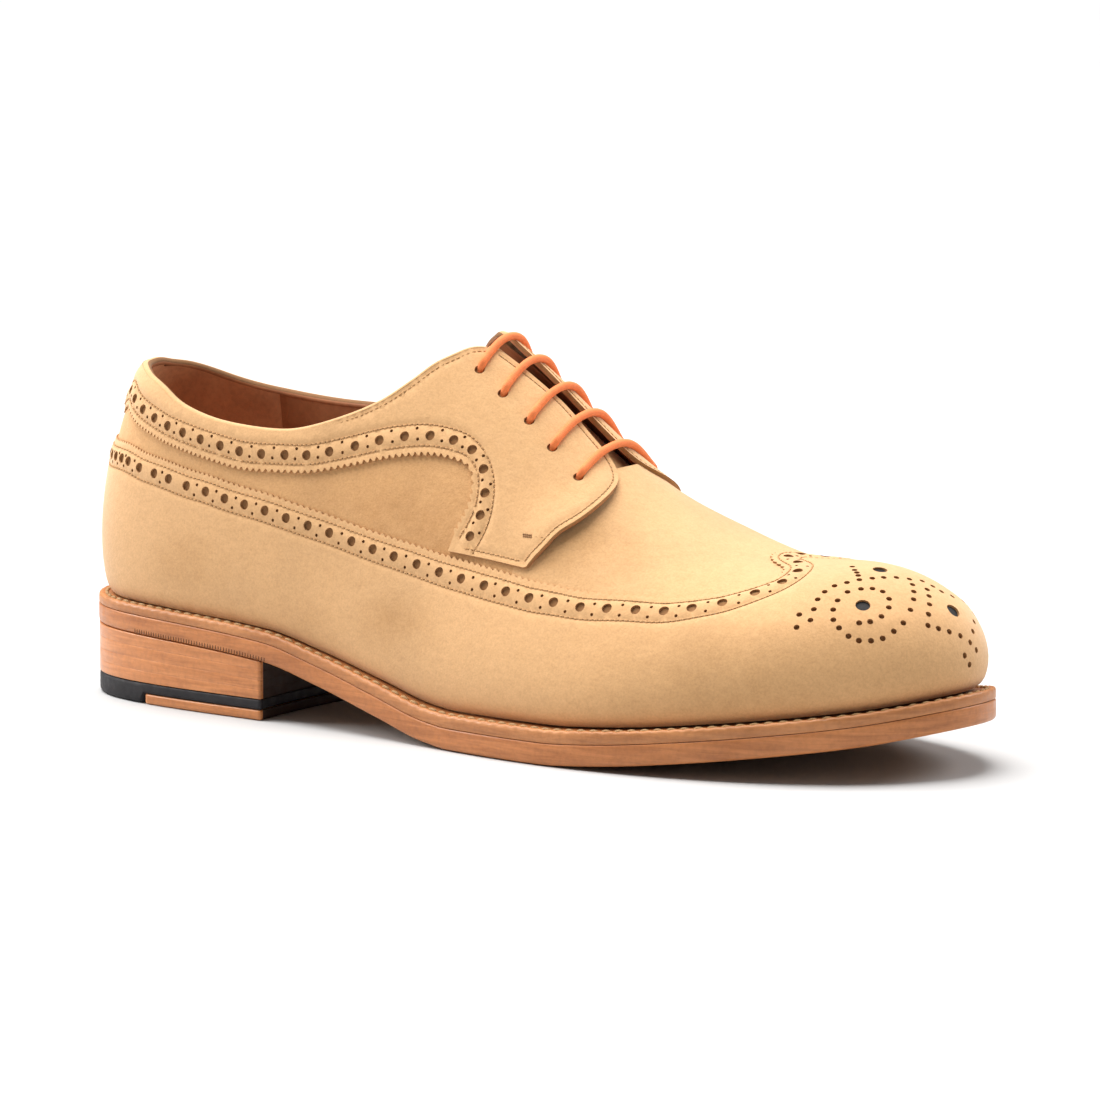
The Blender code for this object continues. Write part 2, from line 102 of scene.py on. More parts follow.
# side view of the sole: height of the underside, thickness of the outsole and of the welt
SOLE_COLUMNS = ("x", "under", "outsole", "welt")
SOLE = [
    (0.0, 21.0, 5.6, 2.9),
    (40.0, 20.0, 5.6, 2.9),
    (82.0, 17.2, 5.7, 3.0),
    (104.0, 12.2, 5.8, 3.2),
    (127.0, 6.0, 6.0, 3.4),
    (147.0, 1.1, 6.1, 3.6),
    (158.0, 0.0, 6.2, 3.7),
    (192.0, 0.0, 6.2, 3.7),
    (204.0, 0.7, 6.1, 3.7),
    (215.0, 1.6, 6.1, 3.6),
    (237.0, 4.1, 6.0, 3.5),
    (260.0, 7.1, 5.9, 3.4),
    (282.0, 10.3, 5.8, 3.3),
    (300.0, 14.0, 5.7, 3.3),
]

# crest of the last: its line from above, its height, and the fullness of the section under it
CREST_COLUMNS = ("x", "y", "z", "crown_lat", "crown_med", "side_lat", "side_med")
CREST = [
    (30.0, 0.0, 119.7, 2.0, 2.0, 2.45, 2.45),
    (60.0, 0.0, 122.9, 2.0, 2.0, 2.45, 2.45),
    (90.0, 1.0, 125.3, 2.0, 2.0, 2.1, 2.2),
    (115.0, 3.0, 123.0, 2.0, 1.85, 1.8, 2.0),
    (140.0, 4.5, 111.9, 2.0, 1.55, 1.65, 1.9),
    (165.0, 5.0, 94.1, 2.0, 1.52, 1.65, 1.9),
    (190.0, 4.6, 74.5, 2.1, 1.80, 1.7, 1.95),
    (215.0, 3.6, 62.8, 2.2, 2.2, 1.85, 2.0),
    (240.0, 2.8, 55.6, 2.3, 2.3, 2.35, 2.4),
    (262.0, 2.4, 55.8, 2.3, 2.3, 2.69, 2.69),
]

# how far the wall swells past the feather line, and how high above it
BULGE_COLUMNS = ("x", "lateral", "medial", "height")
BULGE = [
    (0.0, 3.05, 3.05, 24.0),
    (40.0, 2.15, 2.15, 22.0),
    (90.0, 2.0, 1.5, 20.0),
    (150.0, 3.0, 1.5, 16.0),
    (200.0, 3.5, 3.0, 14.0),
    (250.0, 3.35, 3.35, 14.0),
    (300.0, 3.9, 3.9, 14.0),
]

# the topline from the side
COLLAR_COLUMNS = ("x", "lateral", "medial")
COLLAR = [
    (14.0, 98.9, 98.9),
    (20.0, 98.4, 96.0),
    (26.0, 97.0, 93.1),
    (31.3, 95.2, 91.4),
    (36.4, 92.7, 90.1),
    (42.7, 89.8, 89.1),
    (50.3, 87.4, 88.2),
    (59.5, 85.3, 87.4),
    (68.9, 84.3, 87.0),
    (84.0, 84.2, 87.0),
    (100.0, 87.8, 89.5),
    (115.0, 94.2, 95.2),
    (127.0, 103.5, 104.0),
    (135.0, 109.2, 109.5),
    (142.0, 112.0, 112.0),
]

# eyelet rows: x of each, distance from the crest line on the two sides
EYELET_COLUMNS = ("x", "lateral", "medial")
EYELETS = [
    (141.9, -15.9, 11.9),
    (150.8, -17.3, 13.3),
    (160.6, -18.4, 14.4),
    (169.4, -19.6, 15.6),
    (179.4, -20.9, 16.9),
]

# tongue: half-width along its length
TONGUE_COLUMNS = ("x", "half")
TONGUE = [
    (131.0, 9.0),
    (136.0, 13.5),
    (143.0, 18.0),
    (155.0, 21.5),
    (180.0, 22.0),
    (206.0, 20.0),
]

# ---------------------------------------------------------------- curves through the tables
def monotone(table, columns, key, value):
    """Smooth curve that keeps the table's rises and falls, straight beyond its ends."""
    xs = np.array([row[columns.index(key)] for row in table], float)
    ys = np.array([row[columns.index(value)] for row in table], float)
    h = np.diff(xs)
    d = np.diff(ys) / h
    m = np.zeros(len(xs))
    for i in range(1, len(xs) - 1):
        if d[i - 1] * d[i] > 0:
            a, b = 2 * h[i] + h[i - 1], h[i] + 2 * h[i - 1]
            m[i] = (a + b) / (a / d[i - 1] + b / d[i])
    m[0], m[-1] = d[0], d[-1]

    def curve(x):
        x = np.asarray(x, float)
        xc = np.clip(x, xs[0], xs[-1])
        i = np.clip(np.searchsorted(xs, xc) - 1, 0, len(h) - 1)
        t = (xc - xs[i]) / h[i]
        y = ((1 + 2 * t) * (1 - t) ** 2 * ys[i] + t * (1 - t) ** 2 * h[i] * m[i]
             + t * t * (3 - 2 * t) * ys[i + 1] + t * t * (t - 1) * h[i] * m[i + 1])
        return y + (x - xc) * np.where(x < xs[0], m[0], m[-1])
    return curve


def spline(xs, ys, period=None):
    """Cubic spline with a continuous second derivative: natural ends, or closed with a period."""
    xs, ys = np.array(xs, float), np.array(ys, float)
    if period:
        xs, ys = np.append(xs, xs[0] + period), np.append(ys, ys[0])
    n, h = len(xs), np.diff(xs)
    a, b = np.zeros((n, n)), np.zeros(n)
    for i in range(1, n - 1):
        a[i, i - 1:i + 2] = h[i - 1], 2 * (h[i - 1] + h[i]), h[i]
        b[i] = 6 * ((ys[i + 1] - ys[i]) / h[i] - (ys[i] - ys[i - 1]) / h[i - 1])
    if period:
        a[0, 0], a[0, -1] = 1, -1
        a[-1, 0], a[-1, 1], a[-1, -2], a[-1, -1] = 2 * h[0], h[0], h[-1], 2 * h[-1]
        b[-1] = 6 * ((ys[1] - ys[0]) / h[0] - (ys[-1] - ys[-2]) / h[-1])
    else:
        a[0, 0] = a[-1, -1] = 1
    m = np.linalg.solve(a, b)
    first = (ys[1] - ys[0]) / h[0] - h[0] * m[1] / 6
    last = (ys[-1] - ys[-2]) / h[-1] + h[-1] * m[-2] / 6

    def curve(x):
        x = np.asarray(x, float)
        if period:
            x = xs[0] + np.mod(x - xs[0], period)
        xc = np.clip(x, xs[0], xs[-1])
        i = np.clip(np.searchsorted(xs, xc) - 1, 0, n - 2)
        p, q = xs[i + 1] - xc, xc - xs[i]
        y = ((m[i] * p ** 3 + m[i + 1] * q ** 3) / (6 * h[i])
             + (ys[i] / h[i] - m[i] * h[i] / 6) * p + (ys[i + 1] / h[i] - m[i + 1] * h[i] / 6) * q)
        return y + np.where(x < xs[0], (x - xs[0]) * first, np.where(x > xs[-1], (x - xs[-1]) * last, 0.0))
    return curve


edge_points = np.array(list(EDGE.values()))
edge_steps = np.hypot(*(np.roll(edge_points[:, :2], -1, 0) - edge_points[:, :2]).T)
edge_at = np.concatenate([[0.0], np.cumsum(edge_steps)])
AROUND = edge_at[-1]                                     # length of the sole edge
TIP = edge_at[list(EDGE).index("toe_tip")]               # arc position of the toe tip
edge_x, edge_y, edge_margin = (spline(edge_at[:-1], edge_points[:, k], AROUND) for k in range(3))

under, outsole_t, welt_t = (monotone(SOLE, SOLE_COLUMNS, "x", k) for k in SOLE_COLUMNS[1:])
crest_table = np.array(CREST)
crest_y, crest_z = (spline(crest_table[:, 0], crest_table[:, k]) for k in (1, 2))
crown_lat, crown_med, side_lat, side_med = (monotone(CREST, CREST_COLUMNS, "x", k) for k in CREST_COLUMNS[3:])
bulge_lat, bulge_med, bulge_height = (monotone(BULGE, BULGE_COLUMNS, "x", k) for k in BULGE_COLUMNS[1:])
collar = {"lat": monotone(COLLAR, COLLAR_COLUMNS, "x", "lateral"), "med": monotone(COLLAR, COLLAR_COLUMNS, "x", "medial")}
tongue_half = monotone(TONGUE, TONGUE_COLUMNS, "x", "half")


# ---------------------------------------------------------------- the form of the shoe
def edge(s, inset=0.0):
    """Point of the sole edge at arc position s, moved inwards by inset."""
    dx, dy = edge_x(s + 0.05) - edge_x(s - 0.05), edge_y(s + 0.05) - edge_y(s - 0.05)
    n = np.hypot(dx, dy)
    return np.stack([edge_x(s) - dy / n * inset, edge_y(s) + dx / n * inset], -1)


def feather(s, more=0.0):
    """Line where the upper meets the welt, moved inwards by more."""
    return edge(s, edge_margin(s) + more)


def outsole_top(x):
    return under(x) + outsole_t(x)


def welt_top(x):
    return outsole_top(x) + welt_t(x)


def crest_x(x):
    """x on the crest that a wall column rises to: straight across, but fanning at the heel and toe."""
    x = HEEL_FAN + HEEL_SOFT * np.logaddexp(0.0, (x - HEEL_FAN) / HEEL_SOFT)
    return TOE_FAN - TOE_SOFT * np.logaddexp(0.0, (TOE_FAN - x) / TOE_SOFT)


def wall(s, w):
    """Outer face of the upper: s goes round the feather line, w from 0 at the feather to 1 on the crest."""
    s, w = np.asarray(s, float), np.asarray(w, float)
    fx, fy = np.moveaxis(feather(s), -1, 0)
    fz = welt_top(fx) + GAP
    cx = crest_x(fx)
    cy, cz = crest_y(cx), crest_z(cx)
    side = 0.5 + 0.5 * np.tanh((fy - cy) / 12.0)         # 0 on the lateral side, 1 on the medial
    full = side_lat(cx) * (1 - side) + side_med(cx) * side
    ridge = crown_lat(cx) * (1 - side) + crown_med(cx) * side
    reach = np.where(w >= 1.0, 0.0, np.cos(w * np.pi / 2) ** (2 / ridge))
    rise = np.sin(w * np.pi / 2) ** (2 / full)
    height = rise * (cz - fz)
    swell = bulge_lat(fx) * (1 - side) + bulge_med(fx) * side
    h0 = bulge_height(fx)
    reach = reach + swell / np.hypot(fx - cx, fy - cy) * height / h0 * np.exp(1 - height / h0) * np.clip(3 * (1 - rise), 0, 1)
    x, y = cx + (fx - cx) * reach, cy + (fy - cy) * reach
    slope = crest_z(cx + 0.5) - crest_z(cx - 0.5)
    return np.stack([x, y, fz + height + slope * (x - cx) * rise ** 3], -1)


def outward(s, w):
    """Unit normal of the wall, pointing out of the shoe."""
    e = 1e-3
    ds = wall(s + 0.05, w) - wall(s - 0.05, w)
    dw = wall(s, np.minimum(w + e, 1)) - wall(s, np.maximum(w - e, 0))
    n = np.cross(ds, dw)
    return n / np.linalg.norm(n, axis=-1, keepdims=True)


def solve(f, low, high):
    """Where the rising function f passes zero between low and high."""
    for _ in range(60):
        mid = (low + high) / 2
        if f(mid) < 0:
            low = mid
        else:
            high = mid
    return (low + high) / 2


def column_at(x, side):
    """Arc position of the wall column that rises to x on the crest."""
    if side == "lat":
        return solve(lambda s: float(crest_x(feather(s)[0])) - x, 1.0, TIP - 1.0)
    return solve(lambda s: x - float(crest_x(feather(s)[0])), TIP + 1.0, AROUND - 1.0)


def throat_y(x, side):
    return crest_y(x) + THROAT_SHIFT + (THROAT_HALF if side == "med" else -THROAT_HALF)


def top_of(s, side):
    """How far up (w) the wall goes at column s: the collar, the facing's edge, or the crest."""
    cx = float(crest_x(feather(s)[0]))
    if cx > SLOT_FRONT:
        return 1.0

    def above_collar(w):
        p = wall(s, w)
        return p[2] - collar[side](p[0])
    w = solve(above_collar, 0.2, 1.0)
    if cx > 120.0:
        sign = -1.0 if side == "med" else 1.0
        w = min(w, solve(lambda v: sign * float(wall(s, v)[1] - throat_y(cx, side)), 0.4, 1.0))
    return w


dense = np.linspace(0, AROUND, 4001)
ORIGIN = np.array([(edge_x(dense).min() + edge_x(dense).max()) / 2, (edge_y(dense).min() + edge_y(dense).max()) / 2, 0.0])


# ---------------------------------------------------------------- the upper laid out flat
NS, NW = 1201, 121
S_AT, W_AT = np.linspace(0, AROUND, NS), np.linspace(0, 1, NW)
GRID = wall(S_AT[:, None] + 0 * W_AT, W_AT + 0 * S_AT[:, None])
steps = np.linalg.norm(np.diff(GRID, axis=1), axis=2)
LEN = np.concatenate([np.cumsum(steps[:, ::-1], 1)[:, ::-1], np.zeros((NS, 1))], 1)   # along a column, from the crest


def ray(s):
    """Where a wall column starts on the crest, and which way it leaves it, from above."""
    f = feather(s)
    cx = crest_x(f[..., 0])
    c = np.stack([cx, crest_y(cx)], -1)
    d = f - c
    return c, d / np.linalg.norm(d, axis=-1, keepdims=True)


RAY_AT, RAY_TO = ray(S_AT)


def lengths(s):
    f = np.clip(np.mod(s, AROUND) / AROUND * (NS - 1), 0, NS - 1.000001)
    i = f.astype(int)
    t = (f - i)[:, None]
    return LEN[i] * (1 - t) + LEN[i + 1] * t


def to_q(s, w):
    """Wall position to the flat layout, millimetres."""
    s, w = np.broadcast_arrays(np.atleast_1d(np.asarray(s, float)), np.asarray(w, float))
    s = np.mod(s, AROUND)
    c, d = ray(s)
    f = np.clip(w * (NW - 1), 0, NW - 1.000001)
    j = f.astype(int)
    t = f - j
    rows = lengths(s)
    k = np.arange(len(s))
    return c + d * (rows[k, j] * (1 - t) + rows[k, j + 1] * t)[:, None]


def from_q(q):
    """Flat layout back to the wall position."""
    q = np.asarray(q, float).reshape(-1, 2)
    out = np.empty(len(q))
    for a in range(0, len(q), 1500):
        p = q[a:a + 1500]
        rx, ry = p[:, :1] - RAY_AT[:, 0], p[:, 1:] - RAY_AT[:, 1]
        cr = rx * RAY_TO[:, 1] - ry * RAY_TO[:, 0]
        dt = rx * RAY_TO[:, 0] + ry * RAY_TO[:, 1]
        hit = (cr[:, :-1] * cr[:, 1:] <= 0) & (dt[:, :-1] + dt[:, 1:] > 0)
        k = np.argmax(hit, 1)
        n = np.arange(len(p))
        c0, c1 = cr[n, k], cr[n, k + 1]
        t = np.where(np.abs(c0 - c1) > 1e-12, c0 / np.where(np.abs(c0 - c1) > 1e-12, c0 - c1, 1), 0)
        out[a:a + 1500] = S_AT[k] + np.clip(t, 0, 1) * (S_AT[1] - S_AT[0])
    c, _ = ray(out)
    far = np.linalg.norm(q - c, axis=1)
    rows = lengths(out)
    j = np.clip((rows > far[:, None]).sum(1) - 1, 0, NW - 2)
    n = np.arange(len(q))
    t = (rows[n, j] - far) / np.maximum(rows[n, j] - rows[n, j + 1], 1e-9)
    return out, np.clip((j + t) / (NW - 1), 0, 1)


def normal(s, w):
    n = outward(s, np.minimum(w, 0.985))
    cx = crest_x(feather(s)[..., 0])
    up = np.stack([-(crest_z(cx + 0.5) - crest_z(cx - 0.5)), np.zeros_like(cx), np.ones_like(cx)], -1)
    t = np.clip((w - 0.93) / 0.06, 0, 1)[..., None]
    n = n * (1 - t) + up / np.linalg.norm(up, axis=-1, keepdims=True) * t
    return n / np.linalg.norm(n, axis=-1, keepdims=True)


def place(q, off=0.0):
    """Points of the flat layout on the shoe, off millimetres above the wall; also the normals."""
    s, w = from_q(q)
    n = normal(s, w)
    return wall(s, w) + n * np.broadcast_to(off, len(s))[:, None], n


def mirror_s(s):
    """The column on the other side of the crest."""
    c, d = ray(np.atleast_1d(np.asarray(s, float)))
    return from_q(c + 20.0 * d * (1, -1))[0]


# ---------------------------------------------------------------- lines in the flat layout
def resample(points, step, closed=False):
    """Smooth curve through points, at even steps; also the arc positions of the points themselves."""
    p = np.asarray(points, float)
    if closed:
        p = np.vstack([p, p[:1]])
    at = np.concatenate([[0], np.cumsum(np.linalg.norm(np.diff(p, axis=0), axis=1))])
    if closed:
        fx, fy = spline(at[:-1], p[:-1, 0], at[-1]), spline(at[:-1], p[:-1, 1], at[-1])
    else:
        fx, fy = spline(at, p[:, 0]), spline(at, p[:, 1])
    n = max(int(round(at[-1] / step)), 2)
    t = np.linspace(0, at[-1], n, endpoint=not closed)
    return np.stack([fx(t), fy(t)], -1), at


def left(line, closed=False):
    d = np.roll(line, -1, 0) - np.roll(line, 1, 0) if closed else np.gradient(line, axis=0)
    d /= np.linalg.norm(d, axis=1, keepdims=True)
    return np.stack([-d[:, 1], d[:, 0]], -1)


def along(line):
    return np.concatenate([[0], np.cumsum(np.linalg.norm(np.diff(line, axis=0), axis=1))])


def at_arc(line, t):
    a = along(line)
    return np.stack([np.interp(t, a, line[:, 0]), np.interp(t, a, line[:, 1])], -1)


def no_loops(line, source, far):
    """Drop the points of an offset line that came too near its source, where it folds over itself."""
    keep = np.ones(len(line), bool)
    for a in range(0, len(line), 400):
        d = np.linalg.norm(line[a:a + 400, None] - source[None, ::2], axis=2).min(1)
        keep[a:a + 400] = d > abs(far) * 0.97
    return line[keep]


def beside(line, far):
    """Line moved to its left by far."""
    return no_loops(line + left(line) * far, line, far)


TOOTH = ((0.0, -0.5), (0.10, -0.44), (0.24, 0.10), (0.37, 0.43), (0.5, 0.5), (0.63, 0.43), (0.76, 0.10), (0.90, -0.44))


def pinked(line, outwards, pitch=2.35, deep=0.95):
    """Saw-toothed edge; outwards is +1 where the teeth point to the line's left."""
    a = along(line)
    n = int(round(a[-1] / pitch))
    size = a[-1] / n
    t = np.array([(i + f) * size for i in range(n) for f, _ in TOOTH])
    o = np.array([h for _ in range(n) for _, h in TOOTH]) * deep * outwards
    nl = left(line)
    return at_arc(line, t) + np.stack([np.interp(t, a, nl[:, 0]), np.interp(t, a, nl[:, 1])], -1) * o[:, None]


def inside(points, loops):
    """Even-odd test against all loops together."""
    ax = np.concatenate([l for l in loops])
    bx = np.concatenate([np.roll(l, -1, 0) for l in loops])
    out = np.zeros(len(points), bool)
    slope = (bx[:, 0] - ax[:, 0]) / np.where(bx[:, 1] == ax[:, 1], 1e-12, bx[:, 1] - ax[:, 1])
    for a in range(0, len(points), 1500):
        p = points[a:a + 1500]
        cross = (ax[:, 1] > p[:, 1:]) != (bx[:, 1] > p[:, 1:])
        x = ax[:, 0] + (p[:, 1:] - ax[:, 1]) * slope
        out[a:a + 1500] = (cross & (p[:, :1] < x)).sum(1) % 2 == 1
    return out


def nearest(points, others):
    out = np.empty(len(points))
    for a in range(0, len(points), 1000):
        out[a:a + 1000] = np.sqrt(((points[a:a + 1000, None] - others[None]) ** 2).sum(2).min(1))
    return out


def rings(holes):
    """Round holes on the curved leather, as loops in the flat layout: rows of x, y, radius, corners."""
    h = np.array([(x, y, r) for x, y, r, _ in holes])
    e = 0.3
    px, mx = place(h[:, :2] + (e, 0))[0], place(h[:, :2] - (e, 0))[0]
    py, my = place(h[:, :2] + (0, e))[0], place(h[:, :2] - (0, e))[0]
    jx, jy = (px - mx) / (2 * e), (py - my) / (2 * e)
    loops = []
    for k, (x, y, r, n) in enumerate(holes):
        g = np.array([[jx[k] @ jx[k], jx[k] @ jy[k]], [jx[k] @ jy[k], jy[k] @ jy[k]]])
        val, vec = np.linalg.eigh(g)
        m = vec @ np.diag(1 / np.sqrt(np.clip(val, 0.2, 4.0))) @ vec.T
        ang = np.linspace(0, 2 * np.pi, n, endpoint=False)
        loops.append(np.array([x, y]) + r * np.stack([np.cos(ang), np.sin(ang)], -1) @ m.T)
    return loops


# ---------------------------------------------------------------- pieces
scene = bpy.context.scene


def piece(name, verts, faces, mats, index=None, smooth=True, stands_for=()):
    mesh = bpy.data.meshes.new(name)
    mesh.from_pydata(((np.asarray(verts, float) - ORIGIN) / 1000).tolist(), [], [tuple(int(i) for i in f) for f in faces])
    for m in mats:
        mesh.materials.append(m)
    if index is not None:
        mesh.polygons.foreach_set("material_index", np.asarray(index, np.int32))
    mesh.polygons.foreach_set("use_smooth", np.full(len(mesh.polygons), smooth))
    mesh.update()
    obj = bpy.data.objects.new(name, mesh)
    scene.collection.objects.link(obj)
    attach(obj, "root")
    if stands_for:
        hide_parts(*stands_for)
    return obj


def panel(name, loops, holes, grooves, top, thick, mats, spacing=2.1, lining=None, stands_for=()):
    """Leather cut to loops with holes punched in it. mats: face, cut edge, hole floor, lining.
    grooves are lines that the stitching pulls down; top is the height of the face over the wall, a number or a function."""
    points, label, dip, edges = [], [], [], []

    def add(p, tag, depth, closed):
        a = sum(len(x) for x in points)
        points.append(p)
        label.append(np.full(len(p), tag))
        dip.append(np.full(len(p), depth) if np.isscalar(depth) else depth)
        if closed:
            edges.extend((a + i, a + (i + 1) % len(p)) for i in range(len(p)))

    for i, l in enumerate(loops):
        add(l, -2 - i, 0.0, True)
    cut = rings(holes) if holes else []
    for i, l in enumerate(cut):
        add(l, i, 0.06, True)
    fixed = np.concatenate(points)

    def clear(p):
        """Not inside a hole."""
        if not holes:
            return np.ones(len(p), bool)
        spots = np.array([(x, y) for x, y, _, _ in holes])
        reach = np.array([r for _, _, r, _ in holes]) * 1.7 + 0.2
        ok = np.ones(len(p), bool)
        for i in range(0, len(p), 1000):
            ok[i:i + 1000] = (np.linalg.norm(p[i:i + 1000, None] - spots[None], axis=2) > reach).all(1)
        return ok

    for line, depth in grooves:
        n = left(line)
        for side, d in ((0.0, depth), (0.72, 0.02), (-0.72, 0.02)):
            p = line + n * side
            p = p[(nearest(p, fixed) > 0.42)]
            p = p[inside(p, loops) & clear(p)]
            add(p, -1, d, False)
    fixed = np.concatenate(points)
    low, high = loops[0].min(0), loops[0].max(0)
    gx, gy = np.meshgrid(np.arange(low[0], high[0], spacing), np.arange(low[1], high[1], spacing * 0.866))
    gx[1::2] += spacing / 2
    grid = np.stack([gx.ravel(), gy.ravel()], -1)
    grid = grid[inside(grid, loops) & clear(grid)]
    grid = grid[nearest(grid, fixed) > spacing * 0.42]
    add(grid, -1, 0.0, False)
    points, label, dip = np.concatenate(points), np.concatenate(label), np.concatenate(dip)
    co, _, tris, source, _, _ = delaunay_2d_cdt([Vector(p) for p in points.tolist()], edges, [], 0, 1e-6)
    co = np.array([tuple(c) for c in co])
    tris = np.array([t for t in tris if len(t) == 3])
    src = np.array([x[0] if x else -1 for x in source])
    lab = np.where(src >= 0, label[src], -1)
    low_by = np.where(src >= 0, dip[src], 0.0)
    ok = inside(co[tris].mean(1), loops)
    same = (lab[tris[:, 0]] == lab[tris[:, 1]]) & (lab[tris[:, 1]] == lab[tris[:, 2]]) & (lab[tris[:, 0]] >= 0)
    tris = tris[ok & ~same]
    height = top(co) if callable(top) else np.full(len(co), top)
    face_p, face_n = place(co, height - low_by)
    a = face_p[tris]
    turn = np.einsum("ij,ij->i", np.cross(a[:, 1] - a[:, 0], a[:, 2] - a[:, 0]), face_n[tris].sum(1)) < 0
    tris[turn] = tris[turn][:, ::-1]
    where = {int(k): i for i, k in enumerate(src) if k >= 0}
    verts, faces, index = [face_p], [tuple(t) for t in tris], [0] * len(tris)
    count = len(face_p)
    start = 0
    for k, l in enumerate(list(loops) + cut):
        ids = [where[start + i] for i in range(len(l)) if start + i in where]
        start += len(l)
        n = len(ids)
        deep = thick
        if k >= len(loops):
            deep = {18: 0.75, 22: 0.60}.get(holes[k - len(loops)][3], thick - 0.25)
        levels = [0.0, deep]
        if lining is not None and k < len(loops):
            levels.append(deep + lining)
        for d in levels:
            verts.append(face_p[ids] - face_n[ids] * d)
        for r in range(len(levels) - 1):
            for i in range(n):
                j = (i + 1) % n
                faces.append((count + r * n + i, count + r * n + j, count + (r + 1) * n + j, count + (r + 1) * n + i))
                index.append(1 if r == 0 else 3)
        # floors of the holes: the hole-floor colour, and for the big spots the fourth colour; both are painted shade in
        # the holes
        if k >= len(loops):
            verts.append(face_p[ids] - face_n[ids] * deep)
            faces.append(tuple(count + 2 * n + i for i in range(n)))
            index.append(3 if holes[k - len(loops)][3] == 22 else 2)
            count += n
        count += n * len(levels)
    return piece(name, np.concatenate(verts), faces, mats, index, stands_for=stands_for)


STITCH = ((-0.5, 0.25, -0.30), (-0.36, 0.8, -0.02), (-0.12, 1.0, 0.10), (0.12, 1.0, 0.10), (0.36, 0.8, -0.02), (0.5, 0.25, -0.30))


def stitches(name, rows, mat, pitch=1.6, length=1.25, radius=0.19, wide=1.3):
    """Threads of a sewn row, joined into one mesh: rows of (line in the flat layout, height over the wall)."""
    verts, faces, count, sides = [], [], 0, 6
    ang = np.linspace(0, 2 * np.pi, sides, endpoint=False)
    for line, off in rows:
        p, n = place(line, off(line) if callable(off) else off)
        count = sew(p, n, pitch, length, radius, wide, ang, verts, faces, count)
    return piece(name, np.concatenate(verts), faces, [mat])


def sew(p, n, pitch, length, radius, wide, ang, verts, faces, count):
    sides = len(ang)
    a = along(p)
    m = int(a[-1] / pitch)
    if m < 1:
        return count
    t0 = (np.arange(m) + 0.5) * a[-1] / m
    get = lambda t, v: np.stack([np.interp(t, a, v[:, k]) for k in range(3)], -1)
    c, nn = get(t0, p), get(t0, n)
    tan = get(t0 + 0.4, p) - get(t0 - 0.4, p)
    tan /= np.linalg.norm(tan, axis=1, keepdims=True)
    nn = nn - tan * (nn * tan).sum(1, keepdims=True)
    nn /= np.linalg.norm(nn, axis=1, keepdims=True)
    b = np.cross(nn, tan)
    block = []
    for t, r, h in STITCH:
        mid = c + tan * t * length + nn * (h * radius * 2)
        for q in ang:
            block.append(mid + b * np.cos(q) * r * radius * wide + nn * np.sin(q) * r * radius)
    block = np.stack(block, 1)                           # stitch, point, xyz
    k = len(STITCH) * sides
    verts.append(block.reshape(-1, 3))
    for i in range(m):
        o = count + i * k
        for u in range(len(STITCH) - 1):
            for q in range(sides):
                r = (q + 1) % sides
                faces.append((o + u * sides + q, o + u * sides + r, o + (u + 1) * sides + r, o + (u + 1) * sides + q))
        faces.append(tuple(o + q for q in reversed(range(sides))))
        faces.append(tuple(o + k - sides + q for q in range(sides)))
    return count + m * k


def needle_marks(name, rows, mat, pitch=1.6, radius=0.23):
    """The small holes that the needle leaves between the stitches, as flat lenses joined into one mesh."""
    verts, faces, count = [], [], 0
    ang = np.linspace(0, 2 * np.pi, 7)[:-1]
    for line, off in rows:
        p, n = place(line, off(line) if callable(off) else off)
        a = along(p)
        m = int(a[-1] / pitch)
        if m < 1:
            continue
        t = np.arange(m) * a[-1] / m
        get = lambda t, v: np.stack([np.interp(t, a, v[:, k]) for k in range(3)], -1)
        c, nn, tan = get(t, p), get(t, n), get(t + 0.4, p) - get(t - 0.4, p)
        tan /= np.linalg.norm(tan, axis=1, keepdims=True)
        nn /= np.linalg.norm(nn, axis=1, keepdims=True)
        b = np.cross(nn, tan)
        ring_ = [c + (tan * np.cos(q) + b * np.sin(q)) * radius for q in ang]
        block_ = np.stack(ring_ + [c + nn * 0.07, c - nn * 0.07], 1)
        verts.append(block_.reshape(-1, 3))
        for i in range(m):
            o = count + i * 8
            for q in range(6):
                faces += [(o + q, o + (q + 1) % 6, o + 6), (o + (q + 1) % 6, o + q, o + 7)]
        count += m * 8
    return piece(name, np.concatenate(verts), faces, [mat])


def sheet(points, closed_u=False):
    """Faces of a grid of points, rows by columns."""
    r, c = points.shape[:2]
    faces = []
    for i in range(r if closed_u else r - 1):
        j = (i + 1) % r
        for k in range(c - 1):
            faces.append((i * c + k, j * c + k, j * c + k + 1, i * c + k + 1))
    return faces


def tube(path, radius, sides=14, caps=True, squash=1.0, up=None):
    path = np.asarray(path, float)
    tan = np.gradient(path, axis=0)
    tan /= np.linalg.norm(tan, axis=1, keepdims=True)
    if up is None:
        up = np.tile((0.0, 0.0, 1.0), (len(path), 1))
    a = np.cross(tan, up)
    bad = np.linalg.norm(a, axis=1) < 1e-3
    a[bad] = np.cross(tan[bad], (1.0, 0.0, 0.0))
    a /= np.linalg.norm(a, axis=1, keepdims=True)
    for i in range(1, len(a)):                           # no sudden turns of the section
        v = a[i - 1] - tan[i] * (a[i - 1] @ tan[i])
        a[i] = v / np.linalg.norm(v)
    b = np.cross(a, tan)
    ang = np.linspace(0, 2 * np.pi, sides, endpoint=False)
    r = np.broadcast_to(radius, len(path))
    pts = path[:, None] + (a[:, None] * np.cos(ang)[:, None] + b[:, None] * np.sin(ang)[:, None] * squash) * r[:, None, None]
    faces = []
    for i in range(len(path) - 1):
        for q in range(sides):
            k = (q + 1) % sides
            faces.append((i * sides + q, i * sides + k, (i + 1) * sides + k, (i + 1) * sides + q))
    if caps:
        faces += [tuple(reversed(range(sides))), tuple(range((len(path) - 1) * sides, len(path) * sides))]
    return pts.reshape(-1, 3), faces


def join(parts):
    verts, faces, n = [], [], 0
    for v, f in parts:
        verts.append(v)
        faces += [tuple(i + n for i in face) for face in f]
        n += len(v)
    return np.concatenate(verts), faces


